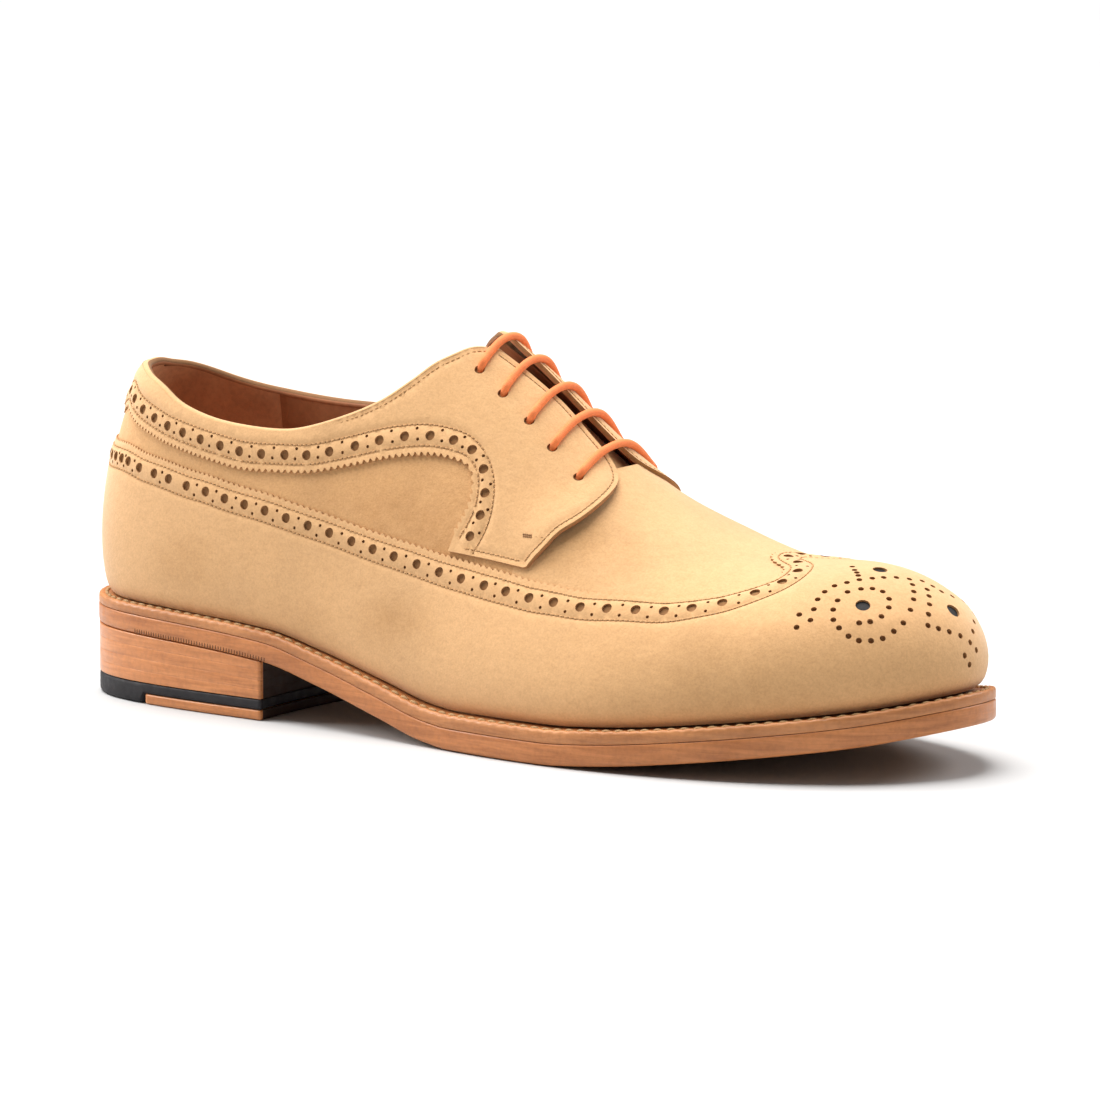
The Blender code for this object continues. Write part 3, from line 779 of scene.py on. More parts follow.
# ---------------------------------------------------------------- materials
def nodes_of(name):
    mat = bpy.data.materials.new(name)
    mat.use_nodes = True
    tree = mat.node_tree
    return mat, tree, tree.nodes["Principled BSDF"]


def coords(tree, scale=(1, 1, 1)):
    tc = tree.nodes.new("ShaderNodeTexCoord")
    mp = tree.nodes.new("ShaderNodeMapping")
    mp.inputs["Scale"].default_value = scale
    tree.links.new(tc.outputs["Object"], mp.inputs["Vector"])
    return mp.outputs["Vector"]


def noise(tree, vec, scale, detail=4.0, rough=0.55, distortion=0.0):
    n = tree.nodes.new("ShaderNodeTexNoise")
    n.inputs["Scale"].default_value = scale
    n.inputs["Detail"].default_value = detail
    n.inputs["Roughness"].default_value = rough
    n.inputs["Distortion"].default_value = distortion
    tree.links.new(vec, n.inputs["Vector"])
    return n.outputs["Fac"]


def ramp(tree, fac, stops):
    r = tree.nodes.new("ShaderNodeValToRGB")
    while len(r.color_ramp.elements) < len(stops):
        r.color_ramp.elements.new(0.5)
    for e, (pos, col) in zip(r.color_ramp.elements, stops):
        e.position = pos
        e.color = (*col, 1.0) if len(col) == 3 else col
    tree.links.new(fac, r.inputs["Fac"])
    return r.outputs["Color"]


def blend(tree, kind, fac, a, b):
    m = tree.nodes.new("ShaderNodeMix")
    m.data_type = "RGBA"
    m.blend_type = kind
    if hasattr(fac, "default_value") or isinstance(fac, (int, float)):
        if isinstance(fac, (int, float)):
            m.inputs["Factor"].default_value = fac
        else:
            tree.links.new(fac, m.inputs["Factor"])
    tree.links.new(a, m.inputs[6])
    tree.links.new(b, m.inputs[7])
    return m.outputs[2]


def bump(tree, shader, layers):
    last = None
    for height, strength, distance in layers:
        b = tree.nodes.new("ShaderNodeBump")
        b.inputs["Strength"].default_value = strength
        b.inputs["Distance"].default_value = distance
        tree.links.new(height, b.inputs["Height"])
        if last is not None:
            tree.links.new(last, b.inputs["Normal"])
        last = b.outputs["Normal"]
    tree.links.new(last, shader.inputs["Normal"])


def tint(c, k):
    return tuple(min(1.0, x * k) for x in c)


def tone_and_shade_patch(tree, col, at, size, shade):
    """A soft darker patch, partly uneven tone of the suede and partly painted shade: centre and reach in the tables'
    millimetres, and its shade.
    """
    tc = tree.nodes.new("ShaderNodeTexCoord")
    mp = tree.nodes.new("ShaderNodeMapping")
    reach = np.array(size, float) / 1000
    mp.inputs["Scale"].default_value = (1 / reach).tolist()
    mp.inputs["Location"].default_value = (-((np.array(at, float) - ORIGIN) / 1000) / reach).tolist()
    tree.links.new(tc.outputs["Object"], mp.inputs["Vector"])
    ball = tree.nodes.new("ShaderNodeTexGradient")
    ball.gradient_type = "SPHERICAL"
    tree.links.new(mp.outputs["Vector"], ball.inputs["Vector"])
    soft = ramp(tree, ball.outputs["Fac"], [(0.0, (1.0, 1.0, 1.0)), (0.85, shade)])
    uneven = ramp(tree, noise(tree, coords(tree), 85, 4, 0.6, 0.4), [(0.32, (0.25,) * 3), (0.62, (1.0,) * 3)])
    return blend(tree, "MULTIPLY", uneven, col, soft)


def suede(name, base, rough_nap=1.0, sheen=0.38, mottle=0.09, patches=()):
    """Nap leather: cloudy colour, brushed streaks and a fine fibrous surface."""
    mat, tree, sh = nodes_of(name)
    v = coords(tree)
    cloud = ramp(tree, noise(tree, v, 24, 3, 0.5, 0.2), [(0.3, tint(base, 1 - mottle)), (0.5, base), (0.72, tint(base, 1 + mottle * 0.6))])
    streak = ramp(tree, noise(tree, coords(tree, (1, 1, 1.7)), 330, 4, 0.7, 0.2), [(0.3, (0.90, 0.88, 0.85)), (0.62, (1.0, 1.0, 1.0))])
    fibre = ramp(tree, noise(tree, v, 1500, 3, 0.7), [(0.28, (0.78, 0.74, 0.69)), (0.6, (1.0, 1.0, 1.0))])
    col = blend(tree, "MULTIPLY", 0.75, cloud, streak)
    col = blend(tree, "MULTIPLY", 0.65, col, fibre)
    # darker patches, partly uneven tone of the suede and partly painted shade
    for at, size, shade in patches:
        col = tone_and_shade_patch(tree, col, at, size, shade)
    tree.links.new(col, sh.inputs["Base Color"])
    tree.links.new(ramp(tree, noise(tree, v, 300, 3), [(0.3, (0.82,) * 3), (0.7, (0.97,) * 3)]), sh.inputs["Roughness"])
    sh.inputs["Specular IOR Level"].default_value = 0.28
    sh.inputs["Sheen Weight"].default_value = sheen
    sh.inputs["Sheen Roughness"].default_value = 0.5
    sh.inputs["Sheen Tint"].default_value = (1.0, 0.92, 0.80, 1.0)
    bump(tree, sh, [(noise(tree, v, 160, 5, 0.6), 0.22 * rough_nap, 0.0006), (noise(tree, v, 900, 4, 0.7), 0.42 * rough_nap, 0.00022),
                    (noise(tree, v, 2600, 2, 0.6), 0.35 * rough_nap, 0.0001)])
    return mat


def smooth_leather(name, dark, light, rough=(0.38, 0.6), grain=520, coat=0.0, depth=0.00018, stretch=(1, 1, 1), scale=60):
    mat, tree, sh = nodes_of(name)
    v = coords(tree)
    cloud = ramp(tree, noise(tree, coords(tree, stretch), scale, 6, 0.62, 0.5), [(0.28, dark), (0.72, light)])
    pore = ramp(tree, noise(tree, v, grain, 4, 0.6), [(0.3, (0.78, 0.76, 0.74)), (0.58, (1.0, 1.0, 1.0))])
    tree.links.new(blend(tree, "MULTIPLY", 0.7, cloud, pore), sh.inputs["Base Color"])
    tree.links.new(ramp(tree, noise(tree, v, grain * 0.5, 3), [(0.3, (rough[0],) * 3), (0.7, (rough[1],) * 3)]), sh.inputs["Roughness"])
    sh.inputs["Specular IOR Level"].default_value = 0.4
    sh.inputs["Coat Weight"].default_value = coat
    sh.inputs["Coat Roughness"].default_value = 0.3
    bump(tree, sh, [(noise(tree, v, grain, 4, 0.6), 0.35, depth), (noise(tree, coords(tree, stretch), scale * 4, 4), 0.25, depth * 1.5)])
    return mat


def cord_cloth(name, dark, light):
    mat, tree, sh = nodes_of(name)
    v = coords(tree)
    weave = tree.nodes.new("ShaderNodeTexWave")
    weave.wave_type = "BANDS"
    weave.bands_direction = "DIAGONAL"
    weave.inputs["Scale"].default_value = 1150
    weave.inputs["Distortion"].default_value = 1.2
    weave.inputs["Detail"].default_value = 1.0
    tree.links.new(v, weave.inputs["Vector"])
    col = ramp(tree, weave.outputs["Fac"], [(0.15, dark), (0.75, light)])
    fuzz = ramp(tree, noise(tree, v, 900, 3), [(0.3, (0.82, 0.8, 0.78)), (0.65, (1.0, 1.0, 1.0))])
    tree.links.new(blend(tree, "MULTIPLY", 0.6, col, fuzz), sh.inputs["Base Color"])
    tree.links.new(ramp(tree, noise(tree, v, 700, 3), [(0.3, (0.55,) * 3), (0.7, (0.8,) * 3)]), sh.inputs["Roughness"])
    sh.inputs["Sheen Weight"].default_value = 0.04
    sh.inputs["Specular IOR Level"].default_value = 0.3
    bump(tree, sh, [(weave.outputs["Fac"], 0.45, 0.00016), (noise(tree, v, 1800, 2), 0.3, 0.0001)])
    return mat


SUEDE = (0.686, 0.400, 0.183)
# darker patches on the wing: uneven tone of the suede, and the wide one at x 234 is also painted shade on the wing's
# lower front
WING_TONE_AND_SHADE = [((133.6, -41.0, 33.0), (19, 14, 11), (0.80, 0.75, 0.66)), ((52.0, -34.0, 43.0), (20, 14, 11), (0.87, 0.83, 0.76)),
                ((97.0, -36.0, 30.0), (16, 14, 9), (0.92, 0.89, 0.84)), ((233.7, -44.0, 31.0), (46, 24, 22), (0.88, 0.86, 0.82)),
                ((150.0, 44.0, 30.0), (26, 16, 12), (0.88, 0.85, 0.79)), ((60.0, 33.0, 44.0), (18, 14, 11), (0.90, 0.87, 0.81))]
M_SUEDE = suede("suede_face", SUEDE, patches=WING_TONE_AND_SHADE)
# the vamp's patch at x 189 is painted shadow under the outer quarter's lifted front edge
M_VAMP = suede("suede_vamp", (0.696, 0.409, 0.188), 1.15, patches=[((189.0, -30.0, 58.0), (26, 16, 14), (0.84, 0.79, 0.71))])
# wide darker patches over the middle of the side panels, the outer one darker
M_SIDE = suede("suede_side", (0.665, 0.372, 0.160), 1.7, 0.26, 0.10,
               [((150.0, -34.5, 59.0), (70, 26, 30), (0.78, 0.72, 0.64)), ((150.0, 34.5, 59.0), (70, 26, 30), (0.84, 0.79, 0.72))])
M_RIM = suede("suede_rolled_edge", (0.25, 0.118, 0.047), 0.8, 0.1)
# the cut edges are darker than the face: partly their own colour, partly painted shade on the lifted fronts' edges and
# in the notches of the pinked edges
M_CUT_EDGE_AND_SHADE = suede("suede_cut_edge_and_shade", (0.43, 0.222, 0.088), 1.4, 0.1)
# hole floors far darker than the suede beneath them: painted shade inside the punched holes
M_HOLE_SHADE = suede("punched_hole_floor_painted_shade", (0.315, 0.160, 0.066), 1.0, 0.0)
# near-black floors of the big spots in the medallion: painted shade
M_SPOT_SHADE = smooth_leather("spot_floor_painted_shade", (0.014, 0.013, 0.014), (0.036, 0.034, 0.035), (0.45, 0.65), 600)
M_SPOT_SHADE.node_tree.nodes["Principled BSDF"].inputs["Specular IOR Level"].default_value = 0.12
M_THREAD = cord_cloth("thread_tan", (0.47, 0.255, 0.102), (0.64, 0.372, 0.165))
M_TACK = cord_cloth("thread_bartack", (0.24, 0.115, 0.044), (0.36, 0.185, 0.076))
M_NEEDLE = smooth_leather("needle_holes", (0.18, 0.088, 0.035), (0.27, 0.138, 0.056), (0.8, 0.95), 600)
M_LINING = smooth_leather("lining_brown", (0.41, 0.145, 0.056), (0.57, 0.222, 0.090), (0.5, 0.72), 420)
M_GRIP = smooth_leather("lining_heel_grip", (0.68, 0.300, 0.142), (0.86, 0.415, 0.205), (0.7, 0.9), 700)
M_LACE = cord_cloth("lace_orange", (0.97, 0.225, 0.062), (1.0, 0.305, 0.100))
M_SOLE = smooth_leather("sole_leather", (0.38, 0.125, 0.034), (0.64, 0.245, 0.078), (0.32, 0.55), 640, 0.14, 0.00022, (0.35, 0.35, 5.0), 120)
M_WELT = smooth_leather("welt_leather", (0.38, 0.140, 0.043), (0.62, 0.265, 0.096), (0.36, 0.58), 640, 0.08, 0.00022, (0.4, 0.4, 4.0), 110)
M_HEEL = smooth_leather("heel_leather_layers", (0.47, 0.165, 0.049), (0.73, 0.292, 0.098), (0.28, 0.48), 560, 0.2, 0.0002, (0.3, 0.3, 6.0), 110)
# near-black heel breast: painted shade on the heel's front face under the arch
M_BREAST_SHADE = smooth_leather("heel_breast_painted_shade", (0.020, 0.009, 0.005), (0.042, 0.018, 0.009), (0.6, 0.8), 560)
M_BOTTOM = smooth_leather("sole_underside", (0.36, 0.165, 0.068), (0.52, 0.27, 0.125), (0.4, 0.65), 420, 0.0)
# dark brown: painted shade on the outsole's top in the joint under the welt, and the own colour of the pressed ticks
M_DARK = smooth_leather("seam_shadow_and_tick_marks", (0.12, 0.045, 0.016), (0.17, 0.068, 0.025), (0.7, 0.9), 420)
M_RUBBER = smooth_leather("heel_rubber_black", (0.008, 0.007, 0.009), (0.016, 0.014, 0.017), (0.55, 0.78), 700, 0.0)
M_WELT_THREAD = cord_cloth("thread_natural", (0.36, 0.205, 0.085), (0.56, 0.36, 0.175))
M_SOCK = smooth_leather("sock_leather", (0.17, 0.070, 0.028), (0.26, 0.115, 0.048), (0.45, 0.68), 380)

# ---------------------------------------------------------------- the cut of the upper: wall positions (s, w), lateral side
LINE_COLUMNS = ("s", "w")
WING = [(0.0, .252), (14.0, .251), (27.5, .249), (40.8, .244), (47.0, .234), (54.3, .226), (61.0, .218), (68.6, .208), (76.5, .201),
        (83.9, .196), (91.6, .198), (99.3, .204), (107.3, .211), (115.5, .222), (123.2, .235), (131.5, .248), (139.6, .262), (147.5, .278),
        (156.1, .294), (164.8, .305), (173.3, .318), (182.0, .331), (190.0, .346), (198.4, .362), (207.0, .384), (216.0, .402), (224.7, .423),
        (234.0, .443), (242.9, .458), (250.8, .486), (259.2, .530), (267.5, .605), (274.5, .698), (276.6, .808), (270.9, .917), (262.6, .970)]
COLLAR_HOLES = [(34.4, .398), (42.2, .373), (49.7, .354), (57.0, .337), (64.2, .324), (72.1, .311), (80.2, .302), (87.8, .300), (96.0, .311),
                (104.3, .329), (111.9, .349), (119.7, .381), (127.9, .420), (135.8, .460), (143.8, .501), (151.8, .539), (159.5, .565),
                (166.1, .575), (171.4, .555), (174.2, .510), (174.7, .461), (173.1, .408)]
TOPLINE = [(38.0, .476), (44.7, .458), (49.7, .441), (57.6, .409), (66.3, .384), (76.1, .365), (86.5, .361), (96.5, .371), (103.6, .386), (111.8, .416),
           (118.4, .449), (124.7, .485), (130.5, .524), (134.6, .558), (138.5, .600), (142.1, .646), (144.7, .687), (147.3, .726),
           (150.1, .768), (152.8, .816), (154.7, .843), (156.7, .866)]
FACING = [(160.8, .884), (171.8, .902), (183.4, .916), (191.1, .910), (195.7, .908), (200.9, .897)]
FRONT = [(204.3, .871), (206.6, .823), (207.3, .767), (206.4, .681), (204.1, .613), (200.9, .555), (198.8, .507), (196.3, .461), (194.4, .428)]
TAB = [(193.4, .4205), (187.9, .405), (180.6, .386), (172.6, .367), (166.4, .353)]
TACK = [(190.2, .488), (193.4, .501), (197.4, .519)]
MEDALLION = [(306.5, .392), (310.1, .394), (314.3, .418), (318.2, .467), (320.1, .522), (319.4, .578), (315.7, .608), (310.4, .613), (304.1, .597),
             (299.8, .539), (298.2, .480), (298.3, .419), (300.1, .372), (302.9, .324), (305.9, .297), (309.5, .291), (313.1, .298), (317.0, .329)]
MEDALLION += [(320.9, .369), (325.6, .438), (329.9, .500), (333.3, .551), (337.0, .602), (340.3, .648),
              (333.9, .678), (326.6, .693), (319.6, .697), (311.8, .694), (304.7, .676), (298.5, .653), (294.4, .608), (292.1, .554), (291.4, .489),
              (290.9, .424), (286.8, .460), (286.9, .388), (315.2, .857), (313.6, .806), (313.4, .772), (312.8, .738)]
MEDALLION += [(341.7, .550), (338.3, .506), (334.7, .455), (331.2, .400), (329.0, .338), (332.3, .313), (336.0, .287), (340.1, .256), (344.0, .213),
              (348.3, .263), (353.6, .307), (361.5, .341), (362.6, .418), (354.2, .470), (349.9, .516), (349.0, .562), (347.3, .614),
              (346.7, .169), (339.8, .156), (341.9, .110)]
MEDALLION_BIG = [(309.0, .496), (333.3, .779), (343.7, .398)]
WING_STITCH_UP, WING_EDGE, WING_STITCH_DOWN = 2.8, 4.7, -3.3          # from the wing's line of holes, upwards
COLLAR_STITCH_UP, COLLAR_STITCH_DOWN, COLLAR_EDGE = 3.0, -2.6, -4.7   # from the collar's line of holes
BIG_R, SMALL_R, EYELET_R = 1.48, 0.50, 1.5
DOT_R, SPOT_R = 0.84, 2.05                       # the medallion on the toe
FACE, BASE, LINING_AT = 0.60, -0.45, -2.25        # heights over the wall: upper layer, lower layer, lining
LEATHER = 1.15                                   # the upper layer's thickness
HALF_GAP = THROAT_SHIFT * 2                      # the far facing comes this much nearer to the crest


def lateral(rows):
    r = np.array(rows)
    return to_q(r[:, 0], r[:, 1])


def medial(rows, shift=True):
    """The same line on the inner side, in the same order."""
    r = np.array(rows)
    q = to_q(mirror_s(r[:, 0]), r[:, 1])
    if shift:
        far = q[:, 1] - crest_y(np.clip(q[:, 0], 120, 262))
        near = np.exp(-(far / 32.0) ** 2) * ((q[:, 0] > 118) & (q[:, 0] < 200))
        q = q + np.stack([0 * far, HALF_GAP * near], -1)
    return q


# the topline over every column, from the table of the collar
z_over = GRID[..., 2] - np.where((S_AT < TIP)[:, None], collar["lat"](GRID[..., 0]), collar["med"](GRID[..., 0]))
first = np.argmax(z_over > 0, 1)
first = np.where((z_over > 0).any(1), np.maximum(first, 1), NW - 1)
pick = np.arange(NS)
z0, z1 = z_over[pick, first - 1], z_over[pick, first]
COLLAR_W = W_AT[first - 1] + (W_AT[1] - W_AT[0]) * np.clip(-z0 / np.where(z1 == z0, 1, z1 - z0), 0, 1)
back_s = np.array([0.0, 9.0, 18.0, 28.0])
BACK = [(s, float(np.interp(s, S_AT, COLLAR_W))) for s in back_s]

lat_top = BACK + TOPLINE                                   # heel back to the facing's top
med_top_s = AROUND - np.array([8.0, 17.0, 27.0, 38.0, 50.0, 62.0, 74.0, 86.0, 97.0, 107.0, 116.0, 123.0, 129.0])
med_top = [(s, float(np.interp(s, S_AT, COLLAR_W))) for s in med_top_s]
lat_top_q = lateral(lat_top)
med_tail = medial(TOPLINE[-8:])
med_head = to_q(np.array([s for s, _ in med_top]), np.array([w for _, w in med_top]))
keep = med_head[:, 0] < med_tail[0, 0] - 5.0
med_top_q = np.vstack([med_head[keep], med_tail])
lat_facing, med_facing = lateral(FACING), medial(FACING)
lat_front, med_front = lateral(FRONT), medial(FRONT)
lat_tab, med_tab = lateral(TAB), medial(TAB)

# lines of holes
heel_collar_w = float(np.interp(0.0, S_AT, COLLAR_W)) - 0.112
lat_collar = lateral([(0.0, heel_collar_w), (9.0, heel_collar_w - .002), (18.0, heel_collar_w - .008), (26.5, .419)] + COLLAR_HOLES)
med_collar = medial([(9.0, heel_collar_w - .002), (18.0, heel_collar_w - .008), (26.5, .419)] + COLLAR_HOLES)
collar_end = (171.2, .370)                                 # the strip runs on to the tab's lower edge
collar_line, collar_at = resample(np.vstack([medial([collar_end]), med_collar[::-1], lat_collar, lateral([collar_end])]), 0.3)
lat_wing, med_wing = lateral(WING), medial(WING[1:], shift=False)
wing_line, wing_at = resample(np.vstack([lat_wing, med_wing[::-1]]), 0.3, closed=True)


def arc_of(line, points):
    a = along(line)
    return np.array([a[np.argmin(((line - p) ** 2).sum(1))] for p in points])


def strip_holes(line, points, pair, heel=0):
    """Big holes at the points, and a pair of small ones between neighbours: pair gives (forward, up) of each."""
    out = [(x, y, BIG_R, 18) for x, y in at_arc(line, arc_of(line, points))]
    t = np.sort(arc_of(line, points))
    n = left(line)
    a = along(line)
    for t0, t1 in zip(t, t[1:]):
        if t1 - t0 > 11.0:
            continue
        for ahead, up in pair:
            m = (t0 + t1) / 2 + ahead
            q = at_arc(line, [m])[0]
            nn = np.array([np.interp(m, a, n[:, 0]), np.interp(m, a, n[:, 1])])
            q = q + nn * up
            out.append((q[0], q[1], SMALL_R, 9))
    return out


# in the flat layout the collar line runs from the inner side round the heel to the outer side: up is on its left
wing_points = np.vstack([lat_wing[3:], med_wing[2:][::-1]])
heel_arc = np.linspace(arc_of(wing_line, lat_wing[3:4])[0], 0, 8)[1:-1]
closed_wing = np.vstack([wing_line, wing_line[:1]])
wing_len = along(closed_wing)[-1]
med_first = arc_of(wing_line, med_wing[2:3])[0]
span = wing_len - med_first + arc_of(wing_line, lat_wing[3:4])[0]
count = int(round(span / 6.9))
heel_t = np.mod(med_first + np.arange(1, count) * span / count, wing_len)
wing_points = np.vstack([wing_points, at_arc(closed_wing, heel_t)])
wing_holes = strip_holes(wing_line, wing_points, ((0.4, 1.15), (-0.5, -1.9)))
wing_holes += [(x, y, DOT_R, 12) for x, y in lateral(MEDALLION)]
wing_holes += [(x, y, SPOT_R, 22) for x, y in lateral(MEDALLION_BIG)]

collar_points = np.vstack([med_collar[::-1], lat_collar])
collar_holes = strip_holes(collar_line, collar_points, ((0.3, 1.9), (-0.1, -1.0)))

# ---------------------------------------------------------------- the wing: one piece all round, peaked on the toe
ring_s = np.linspace(0, AROUND, 470, endpoint=False)
feather_loop = to_q(ring_s, np.full(len(ring_s), 0.0))


def closed_beside(line, far):
    return no_loops(line + left(line, True) * far, line, far)


wing_edge_line = resample(closed_beside(wing_line, WING_EDGE)[::6], 0.35, closed=True)[0]
wing_edge = pinked(np.vstack([wing_edge_line, wing_edge_line[:1]]), +1, 2.35, 0.66)
wing_up = closed_beside(wing_line, WING_STITCH_UP)
wing_down = closed_beside(wing_line, WING_STITCH_DOWN)
seam = [to_q(np.full(40, s), np.linspace(0.02, 0.225, 40)) for s in (1.6, AROUND - 1.6)]


# ---------------------------------------------------------------- quarters: collar strip, facings and tabs in one piece
def front_lift(q):
    """The quarters stand off the vamp along their free front edges."""
    out = np.full(len(q), FACE)
    for edge_q, lift in ((lat_front, 2.2), (med_front, 0.35)):
        line = resample(edge_q, 1.0)[0]
        a = along(line)
        k = np.empty(len(q), int)
        d = np.empty(len(q))
        for i in range(0, len(q), 2000):
            m = np.linalg.norm(q[i:i + 2000, None] - line[None], axis=2)
            k[i:i + 2000], d[i:i + 2000] = m.argmin(1), m.min(1)
        part = np.clip(a[k] / a[-1], 0, 1)
        out += lift * np.exp(-(d / 7.0) ** 2) * np.sin(np.pi * part) ** 0.8 * (part > 0) * (part < 1)
    return out


def far_from(q, line):
    return nearest(q, line)


def quarter_face(q):
    """Height of the quarters: lifted fronts, and a strip that swells between its two rows of sewing."""
    puff = 0.55 * np.exp(-((far_from(q, topline[::2]) - 4.6) / 2.6) ** 2) * np.clip((112.0 - q[:, 0]) / 30.0, 0, 1)
    flat = sum(0.25 * np.exp(-(far_from(q, part[::3]) / 1.7) ** 2) for part in heel_edges)
    return front_lift(q) + puff + 0.38 * np.exp(-(far_from(q, collar_line[::3]) / 1.9) ** 2) - flat


def wing_face(q):
    """Height of the wing: tucked in above the welt, swelling along the strip, thinned at its cut edge."""
    return (FACE - 1.25 * np.exp(-(far_from(q, feather_loop) / 1.9) ** 2) + 0.36 * np.exp(-(far_from(q, wing_line[::3]) / 1.9) ** 2)
            - 0.50 * np.exp(-(far_from(q, wing_edge_line) / 1.5) ** 2))


drop = 0.9                                                 # the rolled edge takes the last of the height
collar_q = np.vstack([med_top_q[::-1], lat_top_q])         # inner facing's top, round the heel, outer facing's top
topline = resample(collar_q, 0.9)[0]
under_rim = topline - left(topline) * drop * 1.0
lower_lat = beside(collar_line, COLLAR_EDGE)
lower_line = resample(lower_lat[::8], 0.35)[0]
teeth = pinked(lower_line, -1, 2.4, 0.9)
round_heel = np.abs(along(lower_line) - arc_of(lower_line, to_q(np.array([0.0]), np.array([heel_collar_w])))[0])
heel_edges = [lower_line[round_heel < reach] for reach in (44.0, 34.0, 26.0)]
lat_side = np.vstack([resample(np.vstack([lat_top_q[-1:], lat_facing, lat_front]), 0.8)[0][1:], resample(lat_tab, 0.8)[0]])
med_side = np.vstack([resample(np.vstack([med_top_q[-1:], med_facing, med_front]), 0.8)[0][1:], resample(med_tab, 0.8)[0]])
quarter_loop = np.vstack([under_rim, lat_side, teeth[::-1], med_side[::-1]])
eyelets_lat = [(x, float(crest_y(x)) + y) for x, y, _ in EYELETS]


def eyelet_q(x, side, far):
    s = column_at(x, side)
    w = solve(lambda v: abs(far) - abs(float(wall(s, v)[1] - crest_y(x))), 0.3, 1.0)
    return to_q(s, w)[0]


EYE_LAT = np.array([eyelet_q(x, "lat", l) for x, l, _ in EYELETS])
EYE_MED = np.array([eyelet_q(x, "med", m) for x, _, m in EYELETS])
quarter_holes = collar_holes + [(x, y, EYELET_R, 20) for x, y in np.vstack([EYE_LAT, EYE_MED])]
collar_up, collar_down = beside(collar_line, COLLAR_STITCH_UP)[8:-8], beside(collar_line, COLLAR_STITCH_DOWN)[5:-5]
top_stitch = beside(topline, -2.0)
far_back = np.where(top_stitch[:, 0] < 104.0)[0]           # the row along the top edge shows beside the facings only
top_rows = [top_stitch[:far_back[0]], top_stitch[far_back[-1] + 1:]]


def inset_row(parts, far, end):
    line = resample(np.vstack(parts), 0.4)[0]
    return beside(line, far)


lat_row = inset_row([lat_facing, lat_front], -1.4, 0)
med_row = inset_row([med_facing, med_front], 1.4, 0)
lat_bottom_row = beside(resample(lat_tab[:-1], 0.4)[0][4:], -1.5)
med_bottom_row = beside(resample(med_tab[:-1], 0.4)[0][4:], 1.5)
panel("wing", [feather_loop, wing_edge], wing_holes, [(wing_up[::4], 0.36), (wing_down[::4], 0.40)], wing_face, LEATHER,
      [M_SUEDE, M_CUT_EDGE_AND_SHADE, M_HOLE_SHADE, M_SPOT_SHADE], stands_for=("upper",))
grooves = [(l[::4], 0.40) for l in (collar_up, collar_down)] + [(l[::3], 0.3) for l in (*top_rows, lat_row, med_row, lat_bottom_row, med_bottom_row)]
panel("quarters", [quarter_loop], quarter_holes, grooves, quarter_face, LEATHER, [M_SUEDE, M_CUT_EDGE_AND_SHADE, M_HOLE_SHADE, M_LINING], lining=0.45)

# ---------------------------------------------------------------- lower layer: side panels and vamp
half = lambda s: np.where(s < TIP, s, 0)
base_s = np.linspace(0, AROUND, 460)
cx_all = crest_x(feather(base_s)[:, 0])
top_w = np.interp(base_s, S_AT, COLLAR_W)
y_gap = np.where(base_s < TIP, crest_y(cx_all) + THROAT_SHIFT - THROAT_HALF, crest_y(cx_all) + THROAT_SHIFT + THROAT_HALF)
edge_w = np.array([W_AT[np.argmin(np.abs(wall(np.full(NW, s), W_AT)[:, 1] - y))] for s, y in zip(base_s, y_gap)])
in_throat = (cx_all > 126) & (cx_all < 184.0)
top_w = np.where(cx_all >= 184.0, 1.0, np.where(in_throat, np.minimum(top_w, edge_w), top_w))
base_top = np.where(cx_all >= 184.0, 1.0, top_w - 0.055)
rows = np.linspace(0, 1, 44)
BS, BW = base_s[:, None] + 0 * rows, base_top[:, None] * rows
base_n = normal(BS, BW)
base_p = wall(BS, BW) + base_n * BASE
faces = sheet(base_p)
kind = [0 if cx_all[f[0] // 44] > 171.5 else 1 for f in faces]
piece("vamp_and_side_panels", base_p.reshape(-1, 3), faces, [M_VAMP, M_SIDE], kind)

lining_top = np.where(cx_all >= 184.0, 1.0, top_w - np.where(in_throat & (top_w < 0.99), 0.012, 0.012))
LW = lining_top[:, None] * rows
SEAM_S = 627.0                                             # where the heel's own lining ends, inner side
lat_seam = float(AROUND - SEAM_S)
at_back = (base_s > SEAM_S) | (base_s < lat_seam)
lining_p = wall(BS, LW) + normal(BS, LW) * np.where(at_back, LINING_AT - 0.4, LINING_AT)[:, None, None]
lining_faces = sheet(lining_p)
piece("lining", lining_p.reshape(-1, 3), lining_faces, [M_LINING, M_GRIP], [1 if at_back[f[0] // 44] else 0 for f in lining_faces])

# rolled edge round the collar
rim_line = resample(collar_q, 0.9)[0]
rs, rw = from_q(rim_line)
rim_p, rim_n = wall(rs, rw), normal(rs, rw)
tan = np.gradient(rim_p, axis=0)
tan /= np.linalg.norm(tan, axis=1, keepdims=True)
rim_t = np.cross(tan, rim_n)
rim_t *= np.sign((rim_t * (wall(rs, np.minimum(rw + .02, 1)) - wall(rs, rw - .02))).sum(1))[:, None]
mid, thick = (FACE + LINING_AT - 0.15) / 2, (FACE - LINING_AT + 0.15) / 2
turn = np.linspace(-0.55, np.pi + 0.75, 17)
rim = np.stack([rim_p + rim_n * (mid + thick * np.cos(f)) + rim_t * (1.35 * np.sin(f) - 1.25 + (0.35 if f < 0 else 0)) for f in turn], 1)
rim_faces = sheet(rim)
piece("collar_rolled_edge", rim.reshape(-1, 3), rim_faces, [M_SUEDE, M_RIM, M_LINING], [0 if (f[0] % 17) < 7 else 1 if (f[0] % 17) < 11 else 2 for f in rim_faces])

